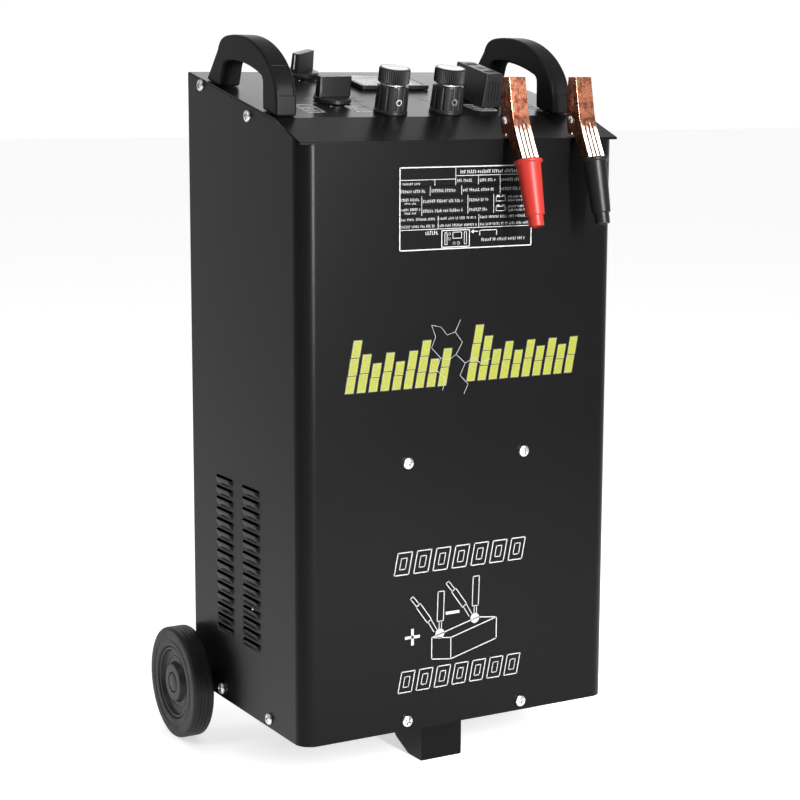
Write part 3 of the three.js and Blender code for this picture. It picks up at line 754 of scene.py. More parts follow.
axle_bar = turned([(0, -175.9), (4.3, -175.9), (5, -175.2), (5, 175.2), (4.3, 175.9), (0, 175.9)], 40)
piece("axle_bar", moved(axle_bar, Matrix.Translation((0, AXLE_Y, WHEEL_R)) @ ALONG_X), ZINC, "cabinet",
      replaces=["axle"])
web = filleted([(150, 51.7), (150, 42), (212, 42), (223.8, 45), (223.8, 56.5), (209, 56.5), (206, 51.7)],
               [2, 5, 4, 5, 2])
for side, x in (("left", -130), ("right", 110)):
    ear = cut(moved(prism(web, -1.5, 1.5), ALONG_X), hole_x(AXLE_Y, WHEEL_R, 5.3))
    bracket = cut(ear, block((-1, 20), (150, 204), (50, 51.7)), operation="UNION")
    piece(f"{side}_axle_ear", shifted(rounded(bracket, 0.4, 1), x), PAINT, "cabinet",
          replaces=[f"{side}_axle_bracket"])


# %% [markdown]
# The glands are moulded rubber: a rounded flange outside, a neck through the plate, and a bore for
# each cord. The cords themselves are left off, so the bores stay open.

# %% Glands
def gland(half_length):
    half = half_length + 12
    outline = (arc((half - 6, 6), 6, 0, 90, 6) + arc((-half + 6, 6), 6, 90, 180, 6)
               + arc((-half + 6, -6), 6, 180, 270, 6) + arc((half - 6, -6), 6, 270, 360, 6))
    flange = prism(outline, -2.5, 1.6)
    centres = [-half_length, half_length] if half_length else [0]
    neck_profile = [(0, -5), (6.9, -5), (7.8, -4.2), (8, -3), (8, 8), (0, 8)]
    necks = [shifted(turned(neck_profile, 40), x) for x in centres]
    bores = [shifted(turned([(0, -20), (4.5, -20), (4.5, 20), (0, 20)], 32), x) for x in centres]
    body = cut(rounded(flange, 1.0, 3), *necks, operation="UNION")
    return cut(body, *bores)


for name, half_length, (x, z) in (("mains", 0, GLAND_MAINS), ("lead", 16, GLAND_LEAD)):
    stand = Matrix.Translation((x, DEPTH, z)) @ ALONG_Y
    piece(f"{name}_gland_moulding", moved(gland(half_length), stand), GLAND, "cabinet",
          replaces=[f"{name}_gland"])

# %% [markdown]
# A handle is one thick plastic arch. Its outline is drawn with Bezier curves, so the back runs up
# straight, the top stays nearly level for the hand, and the front drops in one round sweep. The
# edges are rounded like a moulding's, and the front has a shallow sunk panel that follows
# the sweep.

# %% Handles
def bezier(points, steps=10):
    a, b, c, d = (Vector(p) for p in points)
    curve = []
    for k in range(1, steps + 1):
        t = k / steps
        curve.append(tuple(a * (1 - t) ** 3 + b * 3 * t * (1 - t) ** 2 + c * 3 * t * t * (1 - t)
                           + d * t ** 3))
    return curve


HANDLE_WIDTH = 19


def seat(y):
    return (y, top_z(y) + 0.3)


def handle():
    outline = [seat(184), (161, 622)]
    outline += bezier([(161, 622), (157, 631), (151, 632.5), (143, 633.5)], 6)
    outline += bezier([(143, 633.5), (110, 636), (84, 628), (66, 614)], 12)
    outline += bezier([(66, 614), (53, 603), (47.5, 594), (47, 580)], 8)
    outline += [seat(47), seat(73), (73, 594)]
    outline += bezier([(73, 594), (73, 598), (75, 600), (78, 601)], 4)
    outline += bezier([(78, 601), (98, 609), (120, 613.5), (142, 612.5)], 10)
    outline += bezier([(142, 612.5), (147, 612), (149, 609), (150, 606)], 4)
    outline += [seat(156)]
    arch = moved(prism(outline, 0, HANDLE_WIDTH), ALONG_X)
    sweep = bezier([(49.2, 590), (51.4, 598.5), (55.5, 603.6), (60.5, 607.9)], 6)
    sunk = moved(prism([(38, 584), (48.6, 584), (49.2, 590), *sweep, (52, 622), (38, 622)], 2.8,
                       HANDLE_WIDTH - 2.8),
                 ALONG_X)
    return rounded(cut(rounded(arch, 2.3, 4, 28), sunk), 0.5, 2, 40)


for side, x in (("left", -150), ("right", 117)):
    piece(f"{side}_handle_arch", shifted(handle(), x), HANDLE, "cabinet",
          replaces=[f"{side}_handle"], smooth=45)


# %% [markdown]
# The selectors are pointer knobs: a round skirt with a bar across it for finger and thumb, and a white
# mark at one end. The bar is joined to the skirt first and all edges are rounded in one go, which
# leaves the small fillet that a moulding has between the two.

# %% Selectors
def selector_knob():
    skirt = turned([(0, 0.8), (15.9, 0.8), (16.3, 1.3), (16.3, 3.6), (15.7, 4.6), (14.5, 5.3), (0, 5.5)], 72)
    grip = prism([(-15.4, -3.6), (-13.6, -4.5), (13.6, -4.5), (15.4, -3.6), (15.4, 3.6), (13.6, 4.5),
                  (-13.6, 4.5), (-15.4, 3.6)], 4, 22)
    for vertex in grip.verts:
        vertex.co.y *= 1 - 0.012 * (vertex.co.z - 4)
    whole = rounded(cut(skirt, grip, operation="UNION"), 0.8, 3, 30)
    return cut(whole, turned([(0, -1), (3.4, -1), (3.4, 15), (0, 15)], 32))


for name, (x, v, angle) in SELECTORS.items():
    stand = Matrix.Translation((x, v, 0)) @ Matrix.Rotation(math.radians(angle), 4, "Z")
    body = f"selector_{name}"
    piece(f"{name}_pointer_knob", moved(selector_knob(), stand), CONTROL, body, PANEL,
          [f"selector_{name}_knob"], 40)
    mark = moved(joined(block((4, 14.6), (-0.5, 0.5), (22, 22.08)),
                        block((15.42, 15.5), (-0.5, 0.5), (8, 21))), stand)
    piece(f"{name}_pointer_mark", mark, WHITE_INK, body, PANEL)
    shaft = turned([(0, -15), (2.6, -15), (3, -14.6), (3, 14.5), (0, 14.5)], 32)
    piece(f"{name}_shaft", moved(shaft, stand), ZINC, body, PANEL,
          [f"selector_{name}_spindle"])
    switch = cut(block((-17, 17), (-11, 11), (-20, -2.1)),
                 turned([(0, -16), (3.5, -16), (3.5, 5), (0, 5)], 24))
    piece(f"{name}_switch_body", shifted(rounded(switch, 0.8, 2), x, v), CONTROL, "cabinet",
          PANEL,
          [f"selector_{name}_switch"])
print("selectors at", SELECTORS)

# %% [markdown]
# A lead post is a nickel-flashed stud in an insulating collar, with a knurled nut on top. The collar
# has a cross hole for a wire, lined with a plated bush, a washer shows in the gap under the nut, and
# the nut's top is a satin metal disc inside a plain rim.

# %% Lead posts
collar_profile = [(4.5, 0.3), (14.3, 0.3), (14.5, 0.8), (14.4, 2.6), (13.9, 3.2), (13.4, 22.6),
                  (12.9, 23.3), (12.2, 23.5),
                  (4.5, 23.5)]
nut_profile = [(0, 34.6), (4.5, 34.6), (4.5, 25.6), (12.3, 25.6), (13.1, 26), (13.3, 26.6), (13.3, 36.8),
               (13.1, 37.6),
               (12.4, 38.3), (11.6, 38.3), (11.4, 37.9), (0, 37.9)]
for i, x in enumerate(POST_X):
    side = ("left", "right")[i]
    stand = Matrix.Translation((x, POST_V, 0))
    across = moved(turned([(0, -20), (2.9, -20), (2.9, 20), (0, 20)], 28),
                   Matrix.Translation((0, 0, 11)) @ Matrix.Rotation(math.pi / 2, 4, "X"))
    flutes = [shifted(turned([(0, 4), (1.6, 4), (1.6, 30), (0, 30)], 16), 14.5 * math.cos(a),
                      14.5 * math.sin(a))
              for a in [2 * math.pi * (k + 0.5) / 12 for k in range(12)]]
    collar = cut(turned(collar_profile, 96), across, *flutes)
    piece(f"{side}_collar", moved(rounded(collar, 0.25, 1), stand), CONTROL, "cabinet",
          PANEL,
          [f"{side}_post_collar"], 40)
    bush = turned([(1.9, -12.9), (2.6, -12.9), (2.6, 12.9), (1.9, 12.9)], 28)
    bush = cut(bush, turned([(0, -9), (5, -9), (5, 9), (0, 9)], 24))
    piece(f"{side}_wire_bush",
          moved(bush, stand @ Matrix.Translation((0, 0, 11)) @ Matrix.Rotation(math.pi / 2, 4, "X")),
          ZINC, "cabinet", PANEL)
    stud = turned([(0, -16), (3.6, -16), (4, -15.6), (4, 23.8), (10.7, 23.8), (11, 24.1), (11, 24.9),
                   (10.7, 25.2),
                   (4, 25.2), (4, 33.6), (3.6, 34), (0, 34)], 48)
    piece(f"{side}_stud", moved(stud, stand), ZINC, "cabinet", PANEL, [f"{side}_post_stud"])
    nut = turned(nut_profile, 192, ribs=48, rib_depth=0.7, rib_span=(26.5, 37))
    body = f"{side}_cap"
    piece(f"{side}_knurled_nut", moved(nut, stand), CONTROL, body, PANEL,
          [f"{side}_post_cap"], 30)
    disc = turned([(0, 37.95), (11.2, 37.95), (11.2, 38.25), (10.9, 38.4), (7.4, 38.4), (7.1, 38.25),
                   (0, 38.25)], 64)
    piece(f"{side}_nut_disc", moved(disc, stand), SATIN, body, PANEL)
print("posts at", POST_X)

# %% [markdown]
# The ammeter is a moulded case let into the panel: a bezel with rounded corners, a clear window, a
# white dial and a red needle on its pivot. The scale is plain numberless ticks on an arc, each a thin
# raised print on the dial.

# %% Ammeter
NEEDLE_PIVOT = (METER_X, METER_V - 12)


def around_meter(width, length, low, high, corner=0):
    x, y = width / 2, length / 2
    points = [(-x, -y), (x, -y), (x, y), (-x, y)]
    if corner:
        points = (arc((x - corner, y - corner), corner, 0, 90, 6)
                  + arc((-x + corner, y - corner), corner, 90, 180, 6)
                  + arc((-x + corner, -y + corner), corner, 180, 270, 6)
                  + arc((x - corner, -y + corner), corner, 270, 360, 6))
    return shifted(prism(points, low, high), METER_X, METER_V)


bezel = rounded(around_meter(69, 46, 0.3, 4, 3), 0.7, 3)
case = cut(bezel, around_meter(60, 37, -30, 1), operation="UNION")
case = cut(case, around_meter(62, 39.5, 2, 6), around_meter(56, 34, -6, 6))
piece("ammeter_housing", case, CONTROL, "cabinet", PANEL, ["ammeter_case"], 30)
piece("ammeter_window", rounded(around_meter(61.4, 38.9, 2.3, 3.9), 0.3, 2), LENS_CLEAR, "cabinet",
      PANEL,
      ["ammeter_lens"])
piece("ammeter_face", around_meter(55, 33, -5.7, -4.7), DIAL_WHITE, "cabinet", PANEL,
      ["ammeter_dial"])
arm = prism([(-0.8, -3.6), (0.8, -3.6), (0.5, 16), (0.12, 24), (-0.12, 24), (-0.5, 16)], -3.9, -3.2)
boss = turned([(0, -4.2), (2.3, -4.2), (2.6, -3.9), (2.6, -2.9), (2.1, -2.6), (0, -2.6)], 32)
tilt = Matrix.Translation((*NEEDLE_PIVOT, 0)) @ Matrix.Rotation(math.radians(45), 4, "Z")
piece("ammeter_pointer", moved(joined(arm, boss), tilt), NEEDLE_RED, "meter_needle", PANEL,
      ["ammeter_needle"])

# %% [markdown]
# The fuse sits under a push-on cover with sides that draw in toward the top. The cover is one rounded
# moulding with grip ribs on its end and a few raised marks on its lid. Under it are the base, its
# studs and the fuse strip.

# %% Fuse
FUSE_W, FUSE_L, FUSE_H = 20, 52, 30
lid = block((-FUSE_W / 2, FUSE_W / 2), (-FUSE_L / 2, FUSE_L / 2), (0.3, 0.3 + FUSE_H))
for vertex in lid.verts:
    if vertex.co.z > 1:
        vertex.co.x *= 0.85
lid = rounded(lid, 1.3, 3)
ribs = [block((x - 0.5, x + 0.5), (-FUSE_L / 2 - 0.3, -FUSE_L / 2 + 0.6), (7, 24))
        for x in (-4.5, -1.5, 1.5, 4.5)]
lid = cut(lid, *ribs)
lid = cut(lid, block((-7, 7), (-24, 24), (-1, 28)))
embossed = [block((-5.5, 5.5), (v, v + 1.1), (30, 30.65)) for v in (-18, -14.5, 12.5, 16)]
embossed += [block((-3.2, 3.2), (-4 + 5 * k, -2.6 + 5 * k), (30, 30.6)) for k in (0, 1)]
place = Matrix.Translation((FUSE_X, FUSE_V, 0))
piece("fuse_lid_moulding", moved(lid, place), CONTROL, "fuse_lid", PANEL, ["fuse_cover"],
      40)
piece("fuse_lid_marks", moved(rounded(joined(*embossed), 0.2, 1), place), CONTROL, "fuse_lid",
      PANEL)
studs = [shifted(turned([(0, 6), (2.5, 6), (2.5, 17.6), (2.1, 18), (0, 18)], 24), 0, v) for v in (-15, 15)]
base = cut(rounded(block((-6, 6), (-22, 22), (0.3, 8)), 0.6, 2), *studs, operation="UNION")
piece("fuse_holder", moved(base, place), CONTROL, "cabinet", PANEL, ["fuse_base"])
outline = [(-5, -20), (5, -20), (5, -9), (1.6, -5), (1.6, 5), (5, 9), (5, 20), (-5, 20), (-5, 9), (-1.6, 5),
           (-1.6, -5),
           (-5, -9)]
strip = cut(prism(outline, 8.4, 9.6), *[shifted(turned([(0, 5), (2.9, 5), (2.9, 12), (0, 12)], 24), 0, v)
                                       for v in (-15, 15)])
piece("fuse_link", moved(strip, place), ZINC, "cabinet", PANEL, ["fuse_strip"])

# %% [markdown]
# The transformer and the rectifier's heat sink stay as the CAD drew them, since they are only seen
# through the louvres or with the cover off. They get finishes of their own: banded steel for the stack
# of laminations, copper-brown rows for the winding, and drawn aluminium for the fins.

# %% Inner parts
for node, material in (("transformer_core", CORE), ("transformer_winding", WINDING),
                       ("rectifier_sink", ALUMINIUM)):
    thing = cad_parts[node]
    thing.data.materials.clear()
    thing.data.materials.append(material)
print("inner parts from the CAD", 3)

# %% [markdown]
# Each clamp is a pressed copper-plated channel with two cheeks, a jaw that turns between them on a
# rivet under a torsion spring, and a dipped vinyl sleeve on the long arm. The arm's outline is bent
# with Bezier curves, hollowed to a thin channel, and stiffened by three pressed ribs. The biting edges
# are toothed, and each tooth is a real notch.

# %% Clamps
CLAMP_HALF = 8
SLEEVE_TILT = math.atan2(13, 47.5)
IN_SLEEVE = Matrix.Translation((0, -23.6, -31.9)) @ Matrix.Rotation(-SLEEVE_TILT, 4, "X")
MOUTH = [(0.2, 36), (0.2, 24), (-3.4, 18), (-3.4, 11), (0.2, 6)]
front_line = ([(-6, 36)] + bezier([(-6, 36), (-8.2, 25), (-10, 15), (-11.4, 8)], 6)
              + bezier([(-11.4, 8), (-13.2, -1), (-17, -9), (-27.9, -29.8)], 12))


def across_x(points, half, low=None):
    return moved(prism(points, -half if low is None else low, half), ALONG_X)


def teeth(half):
    """Notches across the biting line, from the tip down to the round mouth."""
    return [across_x([(-0.9 + 0.5, z), (0.5, z + 0.95), (0.9 + 0.5, z), (0.5, z - 0.95)], half)
            for z in (34.2, 32, 29.8, 27.6, 25.4)]


def clamp_arm():
    back_line = [(6, 4), (7, -1), (3, -7), (-5, -13), (-18.9, -32.6)]
    inner = [(y + 1.35, z + (4 if i == 0 else 0)) for i, (y, z) in enumerate(front_line)][:-1]
    outer = MOUTH + filleted(back_line, 2.5, 3) + front_line[::-1]
    hollow = [(12, 40), (12, -20), (-14, -29), *inner[::-1]]
    channel = cut(across_x(outer, CLAMP_HALF), across_x(hollow, CLAMP_HALF - 1.2), *teeth(20))
    channel = rounded(channel, 0.45, 2, 40)
    tang = moved(block((-5, 5), (-4.5, 4.5), (-35, 3)), IN_SLEEVE)
    rod = moved(turned([(0, -20), (2.3, -20), (2.3, 20), (0, 20)], 28), ALONG_X)
    return cut(cut(channel, tang, operation="UNION"), rod)


def arm_ribs():
    """Three stiffening ribs on the lower half of the arm's front, proud by about half a millimetre."""
    lower = [(y - 0.1, z) for y, z in front_line if z < 0]
    return joined(*[bar([(x, y, z) for y, z in lower], 0.75, 8,
                        lambda t: min(1, 8 * t + 0.15)) for x in (-4.2, -0.4, 3.4)])


def clamp_jaw():
    half = CLAMP_HALF - 1.5
    mouth = [(1 - y, z) for y, z in MOUTH][:4]
    outer = mouth + [(-3, 5), (-5, -1), (-2, -7), (2, -12.6), (6.5, -11.6), (9, 0), (10, 14), (7, 36)]
    hollow = [(-9, 40), (-9, -20), (0.5, -20), (0.5, -11), (5.2, -10), (7.6, 0), (8.5, 14), (5.6, 40)]
    body = cut(across_x(filleted(outer, 1.2, 3), half), across_x(hollow, half - 1.2), *teeth(20))
    rod = moved(turned([(0, -20), (2.3, -20), (2.3, 20), (0, 20)], 28), ALONG_X)
    return cut(rounded(body, 0.4, 2, 40), rod)


def clamp_rivet():
    half = CLAMP_HALF
    profile = [(0, -half - 1.9), (1.6, -half - 1.8), (2.9, -half - 1.3), (3.4, -half - 0.6),
               (3.4, -half - 0.3),
               (2, -half - 0.3)]
    return moved(turned(profile + [(r, -h) for r, h in profile[::-1]], 40), ALONG_X)


def torsion_spring():
    turns, reach = 5, 4.4
    coil = [(-reach + 2 * reach * t, 3.1 * math.cos(2 * math.pi * turns * t),
             3.1 * math.sin(2 * math.pi * turns * t))
            for t in [k / 90 for k in range(91)]]
    return bar([(-reach, 4.4, -5.5), *coil, (reach, -2.2, -7)], 0.5, 8)


def clamp_sleeve():
    profile = [(0, -56), (5.4, -56), (6.1, -55.6), (6.3, -55), (6.4, -47.4), (6.7, -46.7), (7.6, -46.5),
               (7.9, -46),
               (8.3, -39), (9.4, -20), (10.3, -4.4), (10.7, -3.3), (11.6, -2.9), (12.1, -2.4), (12.2, -1.2),
               (11.9, -0.4),
               (11.2, 0), (0, 0)]
    pocket = block((-5.3, 5.3), (-4.8, 4.8), (-36, 1))
    bore = turned([(0, -57), (3.6, -57), (3.6, -35), (0, -35)], 32)
    return moved(cut(turned(profile, 80), pocket, bore), IN_SLEEVE)


for colour, x in CLAMP_X.items():
    stand = Matrix.Translation((x, *CLAMP_PIVOT))
    clamp, jaw = f"{colour}_clamp", f"{colour}_jaw"
    vinyl = RED_SLEEVE if colour == "red" else BLACK_SLEEVE
    piece(f"{colour}_arm_channel", moved(clamp_arm(), stand), COPPER, clamp,
          replaces=[f"{clamp}_arm"])
    # The ribs carry the dark brown painted shade.
    piece(f"{colour}_arm_ribs", moved(arm_ribs(), stand), RIB_PAINTED_SHADE, clamp, smooth=60)
    piece(f"{colour}_jaw_channel", moved(clamp_jaw(), stand), COPPER, jaw,
          replaces=[f"{clamp}_jaw"])
    piece(f"{colour}_rivet", moved(clamp_rivet(), stand), ZINC, clamp,
          replaces=[f"{clamp}_pin"])
    piece(f"{colour}_spring", moved(torsion_spring(), stand), ZINC, clamp, smooth=60)
    piece(f"{colour}_grip_sleeve", moved(clamp_sleeve(), stand), vinyl, clamp,
          replaces=[f"{clamp}_sleeve"], smooth=40)
print("clamps", list(CLAMP_X))

# %% [markdown]
# The printed marks are thin raised films, a tenth of a millimetre high, so they catch light like real
# screen print and can't flicker against the paint. None of them spells anything: text is stood for by
# rows of small blocks, and the pictograms are plain geometry.

# %% Print tools
INK_HEIGHT = 0.1


def printed(polygons, height=INK_HEIGHT):
    """One mesh of many flat printed shapes, each given as its outline."""
    film = bmesh.new()
    for points in polygons:
        rings = [[film.verts.new((x, y, z)) for x, y in points] for z in (0, height)]
        film.faces.new(rings[0][::-1])
        film.faces.new(rings[1])
        for i in range(len(points)):
            j = (i + 1) % len(points)
            film.faces.new((rings[0][i], rings[0][j], rings[1][j], rings[1][i]))
    bmesh.ops.recalc_face_normals(film, faces=film.faces)
    return film


def line(points, width, closed=False):
    """A printed line along a path, as one rectangle for each stretch."""
    path = [Vector(p) for p in points]
    ends = list(zip(path, path[1:] + path[:1])) if closed else list(zip(path, path[1:]))
    strokes = []
    for a, b in ends:
        along = (b - a).normalized() * width / 2
        side = Vector((-along.y, along.x))
        strokes.append([tuple(a - along - side), tuple(b + along - side), tuple(b + along + side),
                        tuple(a - along + side)])
    return strokes


def frame_line(x, z, width):
    return line([(x[0], z[0]), (x[1], z[0]), (x[1], z[1]), (x[0], z[1])], width, closed=True)


def rows_of_marks(x, z, height, stroke=0.36, gap=0.9):
    """A row that reads as small print from afar: words of uneven blocks, none of them a letter."""
    marks = []
    spot = x[0]
    word = random.randint(3, 7)
    while spot + 1.4 < x[1]:
        if word == 0:
            spot += 1.1
            word = random.randint(2, 7)
        tall = height * random.choice((0.72, 1, 1, 0.85))
        marks.append([(spot, z), (spot + stroke, z), (spot + stroke, z + tall), (spot, z + tall)])
        level = z + height * random.choice((0, 0.4, 0.75))
        marks.append([(spot, level), (spot + gap, level), (spot + gap, level + stroke),
                      (spot, level + stroke)])
        spot += gap + 0.55
        word -= 1
    return marks


ON_FRONT = CABINET @ ALONG_Y
front_marks = []

# %% [markdown]
# The rating table is a ruled frame. Its rows and dividers follow the proportions of such a plate, and
# the cells hold rows of marks, a few plain symbols and a diagram of the fuse.

# %% Rating table
TABLE_X, TABLE_Z = (-61.6, 66.3), (459, 526.5)


def table_x(share):
    return TABLE_X[0] + share * (TABLE_X[1] - TABLE_X[0])


def table_z(share):
    return TABLE_Z[1] - share * (TABLE_Z[1] - TABLE_Z[0])


def rule(x, z, width=0.45):
    return line([(table_x(x[0]), table_z(z[0])), (table_x(x[1]), table_z(z[1]))], width)


front_marks += frame_line(TABLE_X, TABLE_Z, 0.9)
TABLE_ROWS = [(0.11, 0.228, (0.586, 0.753), 0.414), (0.228, 0.344, (0.223, 0.459, 0.753), 0),
              (0.344, 0.469, (0.161, 0.507, 0.705), 0), (0.469, 0.587, (0.161, 0.507, 0.705), 0),
              (0.587, 0.667, (0.284, 0.592), 0), (0.667, 0.753, (0.284, 0.592), 0)]
front_marks += rule((0.414, 0.414), (0, 0.228)) + rule((0, 0.414), (0.15, 0.15))
front_marks += rule((0.257, 0.257), (0.15, 0.228))
front_marks += rows_of_marks((table_x(0.02), table_x(0.16)), table_z(0.212), 2)
front_marks += rows_of_marks((table_x(0.45), table_x(0.97)), table_z(0.085), 2.9, 0.55, 1.3)
for top, bottom, dividers, start in TABLE_ROWS:
    front_marks += rule((start, 1), (top, top)) + rule((0, 1), (bottom, bottom))
    edges = [start, *dividers, 1]
    for divider in dividers:
        front_marks += rule((divider, divider), (top, bottom))
    for left, right in zip(edges, edges[1:]):
        cell = (table_x(left) + 1.5, table_x(right) - 1.5)
        if bottom - top < 0.1:
            front_marks += rows_of_marks(cell, table_z(bottom) + 1.6, 2.2, 0.4)
        elif right == 1 and start == 0 and top > 0.3:
            middle = table_z((top + bottom) / 2)
            box_x = (cell[0] + 1, cell[0] + 10)
            front_marks += frame_line(box_x, (middle - 2, middle + 1.6), 0.5)
            front_marks += line([(box_x[0] + 1, middle + 2.6), (box_x[0] + 3, middle + 2.6)], 0.9)
            front_marks += line([(box_x[1] - 3, middle + 2.6), (box_x[1] - 1, middle + 2.6)], 0.9)
            for dz in (-2.6, 0.5):
                front_marks += rows_of_marks((box_x[1] + 3, cell[1]), middle + dz, 1.8, 0.36, 0.8)
        elif left == 0 and top > 0.3:
            front_marks += rows_of_marks((cell[0], cell[1]), table_z(bottom) + 4.4, 2.2, 0.42)
            front_marks += rows_of_marks((cell[0] + 3, cell[1] - 3), table_z(bottom) + 1.6, 1.6, 0.36)
        else:
            front_marks += rows_of_marks((cell[0], cell[1] - 3), table_z(bottom) + 2.6, 2.6, 0.46, 1.15)
front_marks += rows_of_marks((table_x(0.19), table_x(0.29)), table_z(0.82), 3.4, 0.6, 1.5)
fuse_box = ((table_x(0.312), table_x(0.521)), (table_z(0.98), table_z(0.775)))
front_marks += frame_line(*fuse_box, 0.7)
front_marks += frame_line((table_x(0.335), table_x(0.352)), (table_z(0.95), table_z(0.80)), 0.5)
front_marks += frame_line((table_x(0.482), table_x(0.499)), (table_z(0.95), table_z(0.80)), 0.5)
front_marks += frame_line((table_x(0.395), table_x(0.462)), (table_z(0.875), table_z(0.80)), 0.5)
for x, z in ((0.37, 0.82), (0.37, 0.88), (0.405, 0.935), (0.437, 0.935)):
    front_marks += line(arc((table_x(x), table_z(z)), 1.1, 0, 360, 10), 0.45)
front_marks += line([(table_x(0.585), table_z(0.80)), (table_x(0.55), table_z(0.80))], 0.7)
front_marks += [[(table_x(0.532), table_z(0.80)), (table_x(0.553), table_z(0.775)),
                 (table_x(0.553), table_z(0.825))]]
front_marks += line([(table_x(0.60), table_z(0.85)), (table_x(0.60), table_z(0.79)),
                     (table_x(0.73), table_z(0.79)),
                     (table_x(0.73), table_z(0.85))], 0.6)
front_marks += rows_of_marks((table_x(0.615), table_x(0.95)), table_z(0.925), 2.6, 0.5, 1.1)
print("rating table", len(front_marks), "shapes")

# %% [markdown]
# Below the clamps the front carries a lively level-meter motif: two groups of leaning bars, in two
# parts each, with a thin bolt between them. A dark film and a paler one under the lime one give every
# bar an edge, as a three-pass screen print does.

# %% Level bars
LEAN = 0.2
bars = []


def leaning(x, z, width, height):
    return [(x, z), (x + width, z), (x + width + height * LEAN, z + height), (x + height * LEAN, z + height)]


def grown(points, by):
    centre = sum((Vector(p) for p in points), Vector((0, 0))) / len(points)
    return [tuple(Vector(p) + Vector((math.copysign(by, p[0] - centre.x),
                                      math.copysign(by, p[1] - centre.y))))
            for p in points]


LEVELS = [(-112, 42), (-101, 30), (-90, 22), (-79, 30), (-68, 22), (-57, 30), (-46, 38), (-35, 22),
          (-24, 30),
          (4, 46), (15, 36), (26, 24), (37, 30), (48, 22), (59, 30), (70, 24), (81, 30), (92, 24), (103, 30)]
for x, tall in LEVELS:
    low = 345 if x < 0 else 347
    parts = 2 if tall < 34 else 3
    share = (tall - 1.8 * (parts - 1)) / parts
    for k in range(parts):
        base = low + k * (share + 1.8)
        bars.append(leaning(x + (base - low) * LEAN, base, 6.6, share))
random.seed(12)


def bolt(points, width):
    return line(points, width)


zigzag = bolt([(-31, 396), (-27, 386), (-31, 377), (-22, 368), (-26, 358), (-17, 350), (-20, 341)], 0.5)
zigzag += bolt([(-3, 399), (-8, 389), (-1, 380), (-7, 370), (2, 362), (-3, 352), (5, 344), (1, 336)], 0.5)
zigzag += bolt([(-31, 396), (-22, 394), (-16, 387), (-8, 389)], 0.45)
zigzag += bolt([(-7, 370), (-14, 366), (-22, 368)], 0.45)
zigzag += bolt([(2, 362), (10, 366), (17, 361), (27, 364)], 0.45)
piece("front_bars_shadow", printed([grown(b, 1.1) for b in bars], 0.06), BLACK_INK, "cabinet",
      ON_FRONT)
piece("front_bars_edge", printed([grown(b, 0.45) for b in bars], 0.1), PALE_LIME_INK, "cabinet",
      ON_FRONT)
piece("front_bars", printed(bars, 0.14), LIME_INK, "cabinet", ON_FRONT)
piece("front_zigzags", printed(zigzag, 0.18), GREY_INK, "cabinet", ON_FRONT)
print("level bars", len(bars))

# %% [markdown]
# The lower marks show what the cabinet is for: a battery in simple oblique view, two probes on each
# terminal, a plus and a minus, and above and below it a row of outlined level segments.

# %% Battery pictogram
def outlined_row(x, z, height, count, width):
    """A row of leaning outlined segments, each with a smaller one inside it."""
    shapes = []
    pitch = (x[1] - x[0]) / count
    for k in range(count):
        left, wide = x[0] + k * pitch, pitch * 0.74
        shapes += line(leaning(left, z, wide, height), width, closed=True)
        shapes += line(leaning(left + wide * 0.3 + height * LEAN * 0.25, z + height * 0.25, wide * 0.4,
                               height * 0.5),
                       width * 0.8, closed=True)
    return shapes


front_marks += outlined_row((-66, 66), 186, 19, 7, 0.9)
front_marks += outlined_row((-62, 62), 83, 18, 7, 0.9)
BOX_LEFT, BOX_CORNER, BOX_RIGHT = (-29, 108.5), (-10, 106), (36, 118)
LIFT = 19
up = Vector((0, LIFT))
corners = [Vector(p) for p in (BOX_LEFT, BOX_CORNER, BOX_RIGHT)]
front_marks += line([corners[0], corners[1], corners[2], corners[2] + up, corners[1] + up, corners[0] + up],
                    0.9, True)
front_marks += line([corners[1], corners[1] + up], 0.9)
far = corners[0] + up + Vector((46, 12))
front_marks += line([corners[0] + up, far, corners[2] + up], 0.9)
TERMINALS = [(-21, 130), (14, 139)]
for x, z in TERMINALS:
    front_marks += [arc((x, z), 4.4, 0, 345, 18)]
    front_marks += line([(x - 3, z + 4), (x - 9, z + 14)], 0.7)
    front_marks += line([(x - 6, z + 2.5), (x - 12, z + 12)], 0.7)
    handle_line = [(x - 12.5, z + 11), (x - 8.5, z + 14), (x - 19.5, z + 29), (x - 23.5, z + 26)]
    front_marks += line(handle_line, 0.8, True)
    front_marks += line([(x - 20.4, z + 28.4), (x - 26.6, z + 36), (x - 29.2, z + 34), (x - 23, z + 26.6)],
                        0.7)
    front_marks += line([(x - 0.8, z + 4), (x - 0.8, z + 11)], 0.7)
    front_marks += line([(x + 1.6, z + 4), (x + 1.6, z + 11)], 0.7)
    front_marks += line([(x - 2.8, z + 11), (x + 3.4, z + 11), (x + 4.2, z + 37), (x - 2, z + 37)], 0.8,
                        True)
front_marks += line([(-54, 130.5), (-42, 130.5)], 2.6) + line([(-48, 124.5), (-48, 129.2)], 2.6)
front_marks += line([(-48, 131.8), (-48, 136.5)], 2.6)
front_marks += line([(-14, 147), (-3, 147)], 2.6)
piece("front_prints", printed(front_marks), WHITE_INK, "cabinet", ON_FRONT)
print("front prints", len(front_marks), "shapes")

# %% [markdown]
# On the control panel the marks are plainer: framed labels, ticks round each selector, an arc
# between the posts, and short rows of small blocks. The dial of the meter gets its scale here too.

